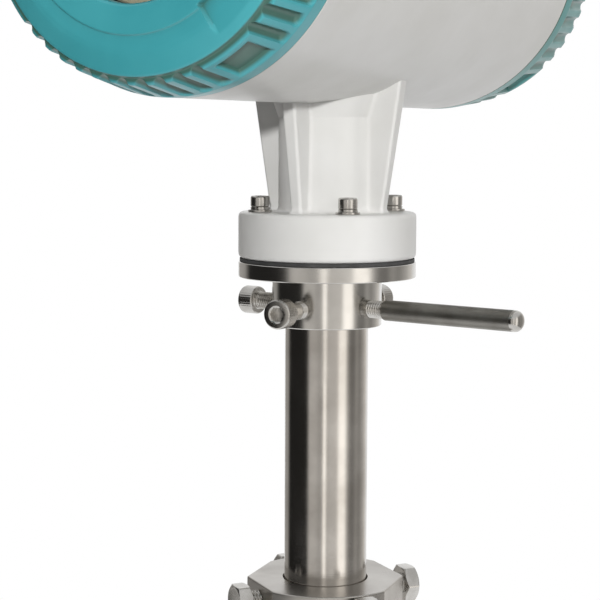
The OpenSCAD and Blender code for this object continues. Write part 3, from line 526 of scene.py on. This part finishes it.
def front_cover():
    end_r, end_h, rim_r, rim_h, crown = 72.8, 26.6, 69.4, 30.4, 2.2
    face_h, step_r, window_r = rim_h + crown, 54.5, 42.5
    disc_h = face_h + 0.8
    outer = [(SPIGOT_R, 0), (BARREL_R - 0.6, 0), (BARREL_R - 0.15, 0.15), (BARREL_R, 0.6)]
    outer += [(BARREL_R, COVER_RING - 0.4), (BARREL_R - 0.05, COVER_RING)]
    outer += [(crest(h, end_r, end_h), h) for h in np.linspace(COVER_RING + 0.4, end_h, 30)]
    outer += [(end_r - 0.12, end_h + 0.4), (end_r - 0.36, end_h + 0.8), (end_r - 0.75, end_h + 1.15),
              (end_r - 1.25, end_h + 1.35), (end_r - 1.8, end_h + 1.45), (rim_r + 1, end_h + 1.5),
              (rim_r + 0.55, end_h + 1.6), (rim_r + 0.35, end_h + 1.9), (rim_r + 0.25, rim_h - 1.6),
              (rim_r + 0.12, rim_h - 1.3)]
    rows = cover_rows(outer, end_r, end_h, -POCKET_DIR)
    low = rim_h - 1.1
    face = [(rim_r, low + 0.12), (rim_r - 0.12, low + 0.35)]
    for i in range(1, 15):
        inwards = 9 * i / 14
        bevel = low + 0.55 + (face_h - low - 0.55) * inwards / 8
        face.append((rim_r - 0.35 - inwards, float(soft_min(bevel, face_h, 0.5))))
    face += [(59.4, face_h), (58.3, face_h)] + [(r, face_h) for r in np.linspace(57.2, step_r + 0.05, 10)]
    face += [(step_r - 0.1, face_h + 0.12), (step_r - 0.35, disc_h - 0.25), (step_r - 0.6, disc_h - 0.06),
             (step_r - 0.95, disc_h)]
    face += [(r, disc_h) for r in (53.25, 53.0, 52.75, 52.5, 52.2, 51.6)]
    rows += notched_rows(face, rim_h + 0.5, -NOTCH_DIR, NOTCH_INNER_R)
    inner = [(48, disc_h), (window_r + 1.6, disc_h), (window_r + 0.9, disc_h - 0.2),
             (window_r + 0.3, disc_h - 0.75), (window_r, disc_h - 1.5), (window_r, 27.4), (window_r, 27),
             (46.8, 27), (46.8, 15), (51.6, 15), (52.6, 26), (60.95, 26), (COVER_BORE_R, 21),
             (COVER_BORE_R, -14), (SPIGOT_R - 1, -14), (SPIGOT_R, -13), (SPIGOT_R, -0.2)]
    rows += circle_rows(inner, COVER_COLUMNS)
    return rings("front_cover_casting", rows, FRONT, TEAL_PAINT, "front_cover", "cover_paint", ["front_cover"],
                 loop=True, smooth=50)


def rear_cover():
    end_r, end_h, top = 74.5, 29.6, 34.6
    outer = [(SPIGOT_R, 0), (BARREL_R - 0.6, 0), (BARREL_R - 0.15, 0.15), (BARREL_R, 0.6)]
    outer += [(BARREL_R, COVER_RING - 0.4), (BARREL_R - 0.05, COVER_RING)]
    outer += [(crest(h, end_r, end_h), h) for h in np.linspace(COVER_RING + 0.4, end_h, 32)]
    outer += [(end_r - 0.15, end_h + 0.9), (end_r - 0.45, end_h + 1.9), (end_r - 0.9, end_h + 2.9),
              (end_r - 1.5, top - 1.2), (end_r - 2.2, top - 0.6), (end_r - 2.9, top - 0.15)]
    rows = cover_rows(outer, end_r, end_h, POCKET_DIR)
    face = [(end_r - 3.4, top), (end_r - 5, top), (66, top), (62, top), (58, top), (56, top), (54.6, top),
            (54.4, top + 0.1), (54.15, top + 0.55), (53.9, top + 0.74), (53.5, top + 0.8)]
    face += [(r, top + 0.8) for r in (53.25, 53.0, 52.75, 52.5, 52.2, 51.6, 45)]
    rows += notched_rows(face, top - 2.2, NOTCH_DIR, NOTCH_INNER_R)
    inner = [(20, top + 0.8), (0.01, top + 0.8), (0.01, top - 5), (60.95, top - 5), (COVER_BORE_R, top - 10),
             (COVER_BORE_R, -14), (SPIGOT_R - 1, -14), (SPIGOT_R, -13), (SPIGOT_R, -0.2)]
    rows += circle_rows(inner, COVER_COLUMNS)
    # The rear cover's teal is darkened as painted shade
    return rings("rear_cover_casting", rows, REAR, REAR_PAINT_IN_SHADE, "rear_cover", "cover_paint", ["rear_cover"],
                 loop=True, smooth=50)


front_cover()
rear_cover()


# Housing

FLARE_Z, FLARE_SLOPE = 268.4, 0.35
FIN_REACH, FIN_REACH_GROWTH = 28.8, 9.2
FIN_THICK, FIN_THICK_GROWTH = 5.5, 1.7
NECK_CORE_R = 22.3
CAST_ROUND = 2.6
BARREL_FOOT = AXIS_Z - math.sqrt(BARREL_R ** 2 - 38 ** 2)


def barrel():
    """The barrel with both chambers and the partition between them, turned about the housing's axis."""
    back = REAR_Y - FRONT_Y
    wall = PARTITION_Y - FRONT_Y
    profile = [(0.01, -wall), (CAVITY_R, -wall), (CAVITY_R, -16), (MOUTH_R, -16), (MOUTH_R, -0.3),
               (MOUTH_R + 0.4, 0), (BARREL_R - 0.5, 0), (BARREL_R - 0.15, -0.15), (BARREL_R, -0.5)]
    profile += [(BARREL_R, -back * i / 24) for i in range(1, 24)]
    profile += [(BARREL_R, -back + 0.5), (BARREL_R - 0.15, -back + 0.15), (BARREL_R - 0.5, -back),
                (MOUTH_R + 0.4, -back), (MOUTH_R, -back + 0.3), (MOUTH_R, -back + 16), (CAVITY_R, -back + 16),
                (CAVITY_R, -wall - PARTITION_T), (0.01, -wall - PARTITION_T)]
    rings("housing_barrel", circle_rows(profile, 256), FRONT, GREY_PAINT, "head", "housing_paint", ["housing"])


def neck_outline(reach, thick, core, round_r=1.4, fillet=2.2):
    """One cross-section of the finned neck: core circle, four fins, rounded edges and hollow corners."""
    half = thick / 2
    centre_x = math.sqrt(max(0.1, (core + fillet) ** 2 - (half + fillet) ** 2))
    centre_x = min(centre_x, reach - round_r - 0.5)
    alpha = math.atan2(half + fillet, centre_x)
    part = [(reach, half * s) for s in (0.0, 0.3)]
    for i in range(7):
        a = 90 * i / 6 * DEG
        part.append((reach - round_r + round_r * math.cos(a), half - round_r + round_r * math.sin(a)))
    edge = reach - round_r
    part += [(edge + (centre_x - edge) * i / 6, half) for i in range(1, 6)]
    for i in range(8):
        a = -math.pi / 2 + (alpha - math.pi / 2) * i / 7
        part.append((centre_x + fillet * math.cos(a), half + fillet + fillet * math.sin(a)))
    reach_core = math.hypot(part[-1][0], part[-1][1])
    for i in range(1, 7):
        a = alpha + (math.pi / 4 - alpha) * i / 6
        part.append((reach_core * math.cos(a), reach_core * math.sin(a)))
    half_turn = part + [(y, x) for x, y in reversed(part[:-1])]
    outline = []
    for quarter in range(4):
        c, s = [(1, 0), (0, 1), (-1, 0), (0, -1)][quarter]
        outline += [(x * c - y * s, x * s + y * c) for x, y in half_turn[:-1]]
    return np.array(outline)


def hollow(distance, r):
    """How far a hollow round of radius r stands out, at a distance from the face that it meets."""
    d = min(max(distance, 0), r)
    return r - math.sqrt(max(0, r * r - (r - d) ** 2))


def neck_section(z):
    """The neck's outline at height z: the fins grow towards the barrel and the core flares above FLARE_Z."""
    t = (z - CAST_TOP + 1) / (BARREL_FOOT - CAST_TOP + 1)
    foot = hollow(z - CAST_TOP, CAST_ROUND)
    reach = FIN_REACH + FIN_REACH_GROWTH * t + foot * 0.8
    thick = FIN_THICK + FIN_THICK_GROWTH * t + foot
    return neck_outline(reach, thick, NECK_CORE_R + foot + FLARE_SLOPE * max(0.0, z - FLARE_Z))


def neck():
    """Level rings up to the flare, then rings that bend onto the barrel's underside."""
    low = CAST_TOP - 1
    rows = []
    for share in [0, 0.017, 0.028, 0.04, 0.055, 0.075, 0.1] + list(np.linspace(0.15, 0.99, 12)) + [1]:
        z = low + share * (FLARE_Z - low)
        outline = neck_section(z)
        rows.append(np.column_stack([outline, np.full(len(outline), z)]))
    for share in [0.02, 0.05] + list(np.linspace(0.1, 1, 14)):
        points = neck_section(FLARE_Z)
        for _ in range(4):
            skin = AXIS_Z - np.sqrt((BARREL_R - 2.5) ** 2 - points[:, 0] ** 2)
            height = FLARE_Z + share * (skin - FLARE_Z)
            points = np.array([neck_section(z)[i] for i, z in enumerate(height)])
        rows.append(np.column_stack([points, height]))
    rings("housing_neck", rows, at_origin(), GREY_PAINT, "head", "housing_paint", ["housing"], smooth=45)


barrel()
neck()
lathe("housing_flange", [(13, CAST_BOTTOM), (FLANGE_R, CAST_BOTTOM), (FLANGE_R, CAST_TOP), (20, CAST_TOP),
                         (13, CAST_TOP - 3)], CAST_ROUND, at_origin(), GREY_PAINT, "head", "housing_paint",
      ["housing"], 160, True, 8)
for n in range(2):
    lathe(f"gland_boss_{n + 1}", [(10, -8), (17, -8), (17, 0), (10, 0)], 0.8, at_gland(n), GREY_PAINT, "head",
          "housing_paint", ["housing"], closed=True)


# Flange joint, collar and stem

lathe("gasket_ring", [(13, STEEL_TOP), (FLANGE_R - 0.6, STEEL_TOP), (FLANGE_R - 0.6, CAST_BOTTOM),
                      (13, CAST_BOTTOM)], 0.3, at_origin(), GASKET_RUBBER, "head", "gasket_rubber", ["gasket"],
      160, True)
lathe("steel_flange_disc", [(13, COLLAR_TOP), (FLANGE_R, COLLAR_TOP), (FLANGE_R, STEEL_TOP), (13, STEEL_TOP)],
      0.7, at_origin(), TURNED_STEEL, "head", "stem_steel", ["steel_flange"], 192, True)
lathe("collar_ring", [(19.05, COLLAR_BOTTOM), (25, COLLAR_BOTTOM), (25, COLLAR_TOP), (19.05, COLLAR_TOP)], 0.6,
      at_origin(), TURNED_STEEL, "head", "stem_steel", ["collar"], 160, True)
lathe("stem_tube_skin", [(16, TUBE_BOTTOM), (STEM_R, TUBE_BOTTOM), (STEM_R, 196.2), (16, 196.2)], 0.4,
      at_origin(), STEM_STEEL, "probe", "stem_steel", ["stem_tube"], 192, True)
lathe("sensor_tip_body", [(0, TIP_BOTTOM), (STEM_R, TIP_BOTTOM), (STEM_R, TUBE_BOTTOM), (15.9, TUBE_BOTTOM),
                          (15.9, -102), (13.1, -102), (13.1, -141), (0, -141)], 3.2, at_origin(), TIP_PLASTIC,
      "probe", "tip_plastic", ["sensor_tip"], 160)

for n, (direction, thread_to) in enumerate(zip(CLAMP_DIRS, [11, 19, 14])):
    socket_screw(f"clamp_screw_{n + 1}_threaded", radial(direction, CLAMP_Z), 19.1, 20, 4, 1.25, thread_to,
                 6.5, 8, 0.1, SCREW_STEEL, f"clamp_screw_{n + 1}", "fastener_steel", [f"clamp_screw_{n + 1}"])
for n in range(4):
    socket_screw(f"flange_screw_{n + 1}", at_flange_screw(n), 198, 30.4, 2.5, 0.8, 14, 4.25, 5, 0, SCREW_STEEL,
                 "head", "fastener_steel", ["flange_screws"])
    lathe(f"flange_flat_washer_{n + 1}", [(2.55, 226.1), (5.4, 226.1), (5.4, 227.1), (2.55, 227.1)], 0.2,
          at_flange_screw(n), SCREW_STEEL, "head", "fastener_steel", ["flat_washers"], 72, True)


def spring_washer(n):
    """A washer split at one side, with square ends."""
    a = (45 + 90 * n) * DEG
    columns = 60
    section = [(2.6, 227.12), (4.2, 227.12), (4.25, 227.2), (4.25, 228.3), (4.2, 228.38), (2.6, 228.38)]
    turns = [(66 + 348 * i / columns) * DEG for i in range(columns + 1)]
    points = [(r * math.cos(turn), r * math.sin(turn), h) for turn in turns for r, h in section]
    ends = [tuple(range(5, -1, -1)), tuple(columns * 6 + k for k in range(6))]
    finish_mesh(f"flange_spring_washer_{n + 1}", points, grid_faces(columns + 1, 6) + ends,
                at_flange_screw(n) @ Matrix.Rotation(a, 4, "Z"),
                SCREW_STEEL, "head", "fastener_steel", ["spring_washers"])


for n in range(4):
    spring_washer(n)


def handle():
    """A bright thread, a dark brushed rod and a polished dome at its tip."""
    columns = 96
    start, rod_start, dome_start, reach, r = 19.6, 33.0, 99.0, 103.0, 4.6
    rows = circle_rows([(0, start), (3.2, start), (3.7, start + 0.4)], columns)
    rows += thread_rows(start + 0.6, rod_start - 0.15, 4.0, 1.25, columns)
    rows += circle_rows([(3.4, rod_start - 0.1), (3.5, rod_start + 0.3), (0, rod_start + 0.3)], columns)
    rings("handle_thread", rows, radial(HANDLE_DIR, CLAMP_Z), SCREW_STEEL, "head", "handle_steel", ["handle"])
    rows = circle_rows([(0, rod_start), (r - 0.5, rod_start), (r - 0.12, rod_start + 0.15),
                        (r, rod_start + 0.5)], columns)
    rows += circle_rows([(r, rod_start + (dome_start - rod_start) * i / 12) for i in range(1, 13)]
                        + [(0, dome_start)], columns)
    rings("handle_rod", rows, radial(HANDLE_DIR, CLAMP_Z), HANDLE_STEEL, "head", "handle_steel", ["handle"])
    dome = reach - dome_start - 0.8
    rows = circle_rows([(0, dome_start), (r - 0.02, dome_start)], columns)
    rows += circle_rows([((r - 0.02) * math.cos(a * DEG) ** 0.8, reach - dome + dome * math.sin(a * DEG))
                         for a in range(0, 86, 5)] + [(0, reach)], columns)
    rings("handle_dome", rows, radial(HANDLE_DIR, CLAMP_Z), SCREW_STEEL, "head", "handle_steel", ["handle"])


handle()


# Lock ring and seat

LOCK_RING_R, LOCK_RING_FLAT = 36.75, 33.5


def ring_outline(columns, inset):
    """The lock ring's outline: a circle with two pairs of flats."""
    angle = np.arange(columns) * 360 / columns
    radius = np.full(columns, LOCK_RING_R - inset)
    for direction in (-36, -81):
        for side in (0, 180):
            facing = direction + side + 90
            off = np.cos((angle - facing) * DEG)
            flat = (LOCK_RING_FLAT - inset) / np.maximum(off, 0.5)
            radius = np.where(off > 0.5, np.minimum(radius, flat), radius)
    return np.stack([radius * np.cos(angle * DEG), radius * np.sin(angle * DEG)], 1)


def lock_ring():
    columns = 360
    rows = []
    for h, inset in [(RING_BOTTOM, 0.7), (RING_BOTTOM + 0.2, 0.2), (RING_BOTTOM + 0.7, 0), (RING_TOP - 0.7, 0),
                     (RING_TOP - 0.45, 0.05), (RING_TOP - 0.2, 0.2), (RING_TOP - 0.05, 0.45), (RING_TOP, 0.7)]:
        rows.append(np.column_stack([ring_outline(columns, inset), np.full(columns, h)]))
    rows += circle_rows([(30, RING_TOP), (20.2, RING_TOP), (19.75, RING_TOP - 0.1), (19.5, RING_TOP - 0.6),
                         (19.3, RING_TOP - 1.5), (19.05, RING_TOP - 2), (19.05, 41), (30.05, 41),
                         (30.05, RING_BOTTOM + 0.4), (30.4, RING_BOTTOM)], columns)
    rings("lock_ring_body", rows, at_origin(), RING_STEEL, "lock_ring", "ring_steel", ["lock_ring"], loop=True,
          smooth=30)


def seat():
    columns = 192
    r = 29.8
    rows = circle_rows([(19.3, 24.5), (19.3, -25.6), (19.7, -26), (r - 2.6, -26), (r - 1.9, -25.6)], columns)
    rows += thread_rows(-25.2, -0.4, r, 2.309, columns, 10)
    rows += circle_rows([(r - 1.2, -0.3), (r - 1.2, 1.98), (33.5, 2.0)], columns)
    rows += hexagon_rows(70, 2, 18, columns)
    rows += circle_rows([(34.6, 18), (30.2, 18), (30, 18.3), (30, 39.2), (29.8, 39.8), (29.4, 40), (25.3, 40),
                         (25, 39.7), (25, 24.5)], columns)
    rings("seat_fitting", rows, at_origin(), SEAT_STEEL, "root", "seat_steel", ["seat_body"], loop=True)


lock_ring()
seat()
for n, direction in enumerate(BOLT_DIRS):
    hex_bolt(f"lock_bolt_{n + 1}_threaded", radial(direction, BOLT_Z), 19.1, 20, 5, 1.5, 16, 6.4, SCREW_STEEL,
             f"lock_bolt_{n + 1}", "fastener_steel", [f"lock_bolt_{n + 1}"])


# Cable glands

def gland(n):
    columns = 120
    r = 10.0
    rows = circle_rows([(5.5, -12), (r - 1.2, -12), (r - 0.4, -11.2)], columns)
    rows += thread_rows(-11, -1.5, r, 1.5, columns)
    rows += circle_rows([(r - 0.3, -1.4), (r - 0.3, 0), (11.6, 0)], columns)
    rows += hexagon_rows(24, 0, 5, columns)
    rows += circle_rows([(11.4, 5), (9.2, 5), (8.9, 5.3)], columns)
    rows += thread_rows(5.5, 14.7, 9.2, 1.5, columns)
    rows += circle_rows([(8.9, 14.8), (8.6, 15), (7.9, 15), (7.8, 14.8), (7.8, 5), (5.5, 5)], columns)
    rings(f"gland_body_{n + 1}_threaded", rows, at_gland(n), NICKEL, "head", "gland_metal",
          [f"gland_body_{n + 1}"], loop=True)
    rows = circle_rows([(9.25, 16.3), (9.25, 5.5), (9.6, 5.3), (11.4, 5.3)], columns)
    rows += hexagon_rows(24, 5.3, 19.0, columns)
    rows += circle_rows([(11.0, 19.0), (10.4, 19.55), (9.0, 19.85), (7, 19.9), (6.0, 19.8), (5.6, 19.5),
                         (5.5, 19.1), (5.5, 16.3)], columns)
    rings(f"gland_nut_{n + 1}_hexagon", rows, at_gland(n), NICKEL, f"gland_nut_{n + 1}", "gland_metal",
          [f"gland_nut_{n + 1}"], loop=True)


for n in range(2):
    gland(n)


# Materials of the nodes that stay

NODE_MATERIALS = {
    "seal_washer": FIBRE, "packing_rings": PACKING, "packing_follower": SEAT_STEEL,
    "electrodes": SCREW_STEEL, "coil_core": IRON, "coil": COPPER, "lead_bundle": BLACK_RUBBER,
    "front_seal_ring": BLACK_RUBBER, "rear_seal_ring": BLACK_RUBBER, "window_seal": BLACK_RUBBER,
    "window_ring": INNER_METAL, "window_glass": GLASS, "chassis": INNER_METAL, "power_board": BOARD,
    "main_board": BOARD, "display_board": BOARD, "lcd": LCD_FACE, "display_panel": PANEL,
    "panel_screws": SCREW_STEEL, "key_switches": DARK_PLASTIC, "key_1": KEY_PLASTIC, "key_2": KEY_PLASTIC,
    "key_3": KEY_PLASTIC, "key_4": KEY_PLASTIC, "terminal_block": DARK_PLASTIC, "terminal_screws": SCREW_STEEL,
    "gland_seal_1": BLACK_RUBBER, "gland_seal_2": BLACK_RUBBER,
}
for node, mat in NODE_MATERIALS.items():
    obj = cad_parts[node]
    obj.data.materials.clear()
    obj.data.materials.append(mat)


# Floor, world, lights and camera

def seen_as_backdrop(nodes, links, path, mirrored):
    """1 for the camera's rays, for those through glass and for mirrored ones that show the backdrop."""
    through = add_math(nodes, links, "MAXIMUM", path.outputs["Is Camera Ray"],
                       path.outputs["Is Transmission Ray"])
    return add_math(nodes, links, "MAXIMUM", through, mirrored)


def white_floor():
    """A white disc under the tip; camera rays see the backdrop's white on it, with the object's shadow."""
    mat, nodes, links, shader = new_material("white_floor")
    nodes.remove(shader)
    out = nodes["Material Output"]
    path = nodes.new("ShaderNodeLightPath")
    diffuse = nodes.new("ShaderNodeBsdfDiffuse")
    diffuse.inputs["Color"].default_value = (0.8, 0.8, 0.8, 1)
    glow = nodes.new("ShaderNodeEmission")
    glow.inputs["Color"].default_value = (1, 1, 1, 1)
    glow.inputs["Strength"].default_value = 1.0
    mix = nodes.new("ShaderNodeMixShader")
    seen = seen_as_backdrop(nodes, links, path, path.outputs["Is Glossy Ray"])
    links.new(add_math(nodes, links, "MULTIPLY", seen, value=0.92), mix.inputs[0])
    links.new(diffuse.outputs[0], mix.inputs[1])
    links.new(glow.outputs[0], mix.inputs[2])
    links.new(mix.outputs[0], out.inputs[0])
    bm = bmesh.new()
    bmesh.ops.create_circle(bm, cap_ends=True, radius=0.62, segments=96)
    mesh = bpy.data.meshes.new("floor")
    bm.to_mesh(mesh)
    bm.free()
    mesh.transform(Matrix.Translation((0, 0, -0.16)))
    mesh.materials.append(mat)
    obj = bpy.data.objects.new("floor", mesh)
    bpy.context.scene.collection.objects.link(obj)


# What metal mirrors, by direction from -Y towards +X in degrees: softboxes, dark flags and the white backdrop,
# which lies behind the object as the camera sees it
BACKDROP = (172, -132)
BANDS = [(-180, 0.45), (-128, 0.40), (-104, 0.38), (-97, 0.15), (-90, 0.02), (-31, 0.025), (-25, 0.06),
         (-18, 0.62), (0, 0.6), (10, 0.47), (19, 0.47), (22, 1.7), (27, 1.7), (30, 0.55), (38, 0.70), (60, 0.76),
         (65, 1.6), (82, 1.6), (89, 0.6), (98, 0.26), (110, 0.24), (121, 0.42), (134, 0.3), (150, 0.5),
         (166, 0.8), (180, 0.8)]
WARM = (1.0, 0.965, 0.915)
MIRROR_STRENGTH = 1.0
# How strongly the world lights everything that isn't a mirror
PLAIN_LEVEL = 0.11


def studio_world():
    """White for the camera, the bands for mirrored rays and a plain soft light for everything else."""
    world = bpy.data.worlds.new("studio")
    bpy.context.scene.world = world
    world.use_nodes = True
    nodes, links = world.node_tree.nodes, world.node_tree.links
    nodes.clear()
    out = nodes.new("ShaderNodeOutputWorld")
    coord = nodes.new("ShaderNodeTexCoord")
    split = nodes.new("ShaderNodeSeparateXYZ")
    links.new(coord.outputs["Generated"], split.inputs[0])
    flip = add_math(nodes, links, "MULTIPLY", split.outputs["Y"], value=-1)
    azimuth = add_math(nodes, links, "ARCTAN2", split.outputs["X"], flip)
    share = nodes.new("ShaderNodeMapRange")
    share.inputs["From Min"].default_value = -math.pi
    share.inputs["From Max"].default_value = math.pi
    links.new(azimuth, share.inputs["Value"])
    ramp = nodes.new("ShaderNodeValToRGB")
    elements = ramp.color_ramp.elements
    while len(elements) > 1:
        elements.remove(elements[-1])
    for i, (angle, level) in enumerate(BANDS):
        element = elements[0] if i == 0 else elements.new((angle + 180) / 360)
        element.position = (angle + 180) / 360
        element.color = (level * WARM[0], level * WARM[1], level * WARM[2], 1)
    links.new(share.outputs[0], ramp.inputs["Fac"])
    # Overhead the bands give way to one soft light
    above = nodes.new("ShaderNodeMapRange")
    above.interpolation_type = "SMOOTHSTEP"
    above.inputs["From Min"].default_value = 0.3
    above.inputs["From Max"].default_value = 0.65
    links.new(split.outputs["Z"], above.inputs["Value"])
    mirrored = nodes.new("ShaderNodeBackground")
    links.new(ramp.outputs[0], mirrored.inputs["Color"])
    mirrored.inputs["Strength"].default_value = MIRROR_STRENGTH
    overhead = nodes.new("ShaderNodeBackground")
    overhead.inputs["Color"].default_value = (0.75, 0.755, 0.76, 1)
    overhead.inputs["Strength"].default_value = 1.0
    studio = nodes.new("ShaderNodeMixShader")
    links.new(above.outputs[0], studio.inputs[0])
    links.new(mirrored.outputs[0], studio.inputs[1])
    links.new(overhead.outputs[0], studio.inputs[2])
    # The white backdrop, also as metal and glass show it
    white = nodes.new("ShaderNodeBackground")
    white.inputs["Color"].default_value = (1, 1, 1, 1)
    path = nodes.new("ShaderNodeLightPath")
    behind = add_math(nodes, links, "MAXIMUM",
                      add_math(nodes, links, "GREATER_THAN", azimuth, value=BACKDROP[0] * DEG),
                      add_math(nodes, links, "LESS_THAN", azimuth, value=BACKDROP[1] * DEG))
    shown = seen_as_backdrop(nodes, links, path,
                             add_math(nodes, links, "MULTIPLY", path.outputs["Is Glossy Ray"], behind))
    soft = nodes.new("ShaderNodeBackground")
    soft.inputs["Color"].default_value = (1, 0.99, 0.975, 1)
    soft.inputs["Strength"].default_value = PLAIN_LEVEL
    glossy = nodes.new("ShaderNodeMixShader")
    links.new(path.outputs["Is Glossy Ray"], glossy.inputs[0])
    links.new(soft.outputs[0], glossy.inputs[1])
    links.new(studio.outputs[0], glossy.inputs[2])
    choose = nodes.new("ShaderNodeMixShader")
    links.new(shown, choose.inputs[0])
    links.new(glossy.outputs[0], choose.inputs[1])
    links.new(white.outputs[0], choose.inputs[2])
    links.new(choose.outputs[0], out.inputs[0])


white_floor()
studio_world()

LAMP_TARGET = (0, 0, 0.28)


def softbox(name, azimuth, elevation, distance, size, power):
    """An area lamp that faces the meter's middle, in metres, degrees and watts; metal doesn't mirror it."""
    a, e = azimuth * DEG, elevation * DEG
    target = Vector(LAMP_TARGET)
    data = bpy.data.lights.new(name, "AREA")
    data.shape = "RECTANGLE"
    data.size, data.size_y = size
    data.energy = power
    lamp = bpy.data.objects.new(name, data)
    away = Vector((math.sin(a) * math.cos(e), -math.cos(a) * math.cos(e), math.sin(e)))
    lamp.location = target + distance * away
    lamp.rotation_euler = (lamp.location - target).to_track_quat("Z", "Y").to_euler()
    lamp.visible_glossy = False
    bpy.context.scene.collection.objects.link(lamp)


# The photograph's light: a small lamp at the camera and soft ones on the right; one behind for other views
softbox("camera_light", 28, 8, 1.5, (0.06, 0.06), 18)
softbox("side_light", 75, 8, 1.5, (0.4, 0.8), 3)
softbox("side_top_light", 75, 45, 1.5, (0.5, 0.5), 3)
softbox("grazing_light", 95, 15, 1.5, (0.3, 0.8), 3)
softbox("rear_light", -150, 25, 1.6, (0.6, 0.6), 24)

# Camera: the photograph's view, 29.5 degrees from the front towards +X and slightly from above
CAMERA_AZIMUTH, CAMERA_PITCH, CAMERA_ROLL = 29.5, 5.67, 0.25
CAMERA_AT = (0.3535, -0.6497, 0.2590)
camera_data = bpy.data.cameras.new("camera")
camera_data.sensor_width = 36
camera_data.lens = 97.62
camera_data.clip_start = 0.01
camera = bpy.data.objects.new("camera", camera_data)
camera.location = CAMERA_AT
camera.matrix_world = (Matrix.Translation(CAMERA_AT) @ Matrix.Rotation(CAMERA_AZIMUTH * DEG, 4, "Z")
                       @ Matrix.Rotation((90 - CAMERA_PITCH) * DEG, 4, "X")
                       @ Matrix.Rotation(CAMERA_ROLL * DEG, 4, "Z"))
bpy.context.scene.collection.objects.link(camera)
bpy.context.scene.camera = camera
bpy.context.scene.view_settings.view_transform = "Standard"

bpy.context.view_layer.update()
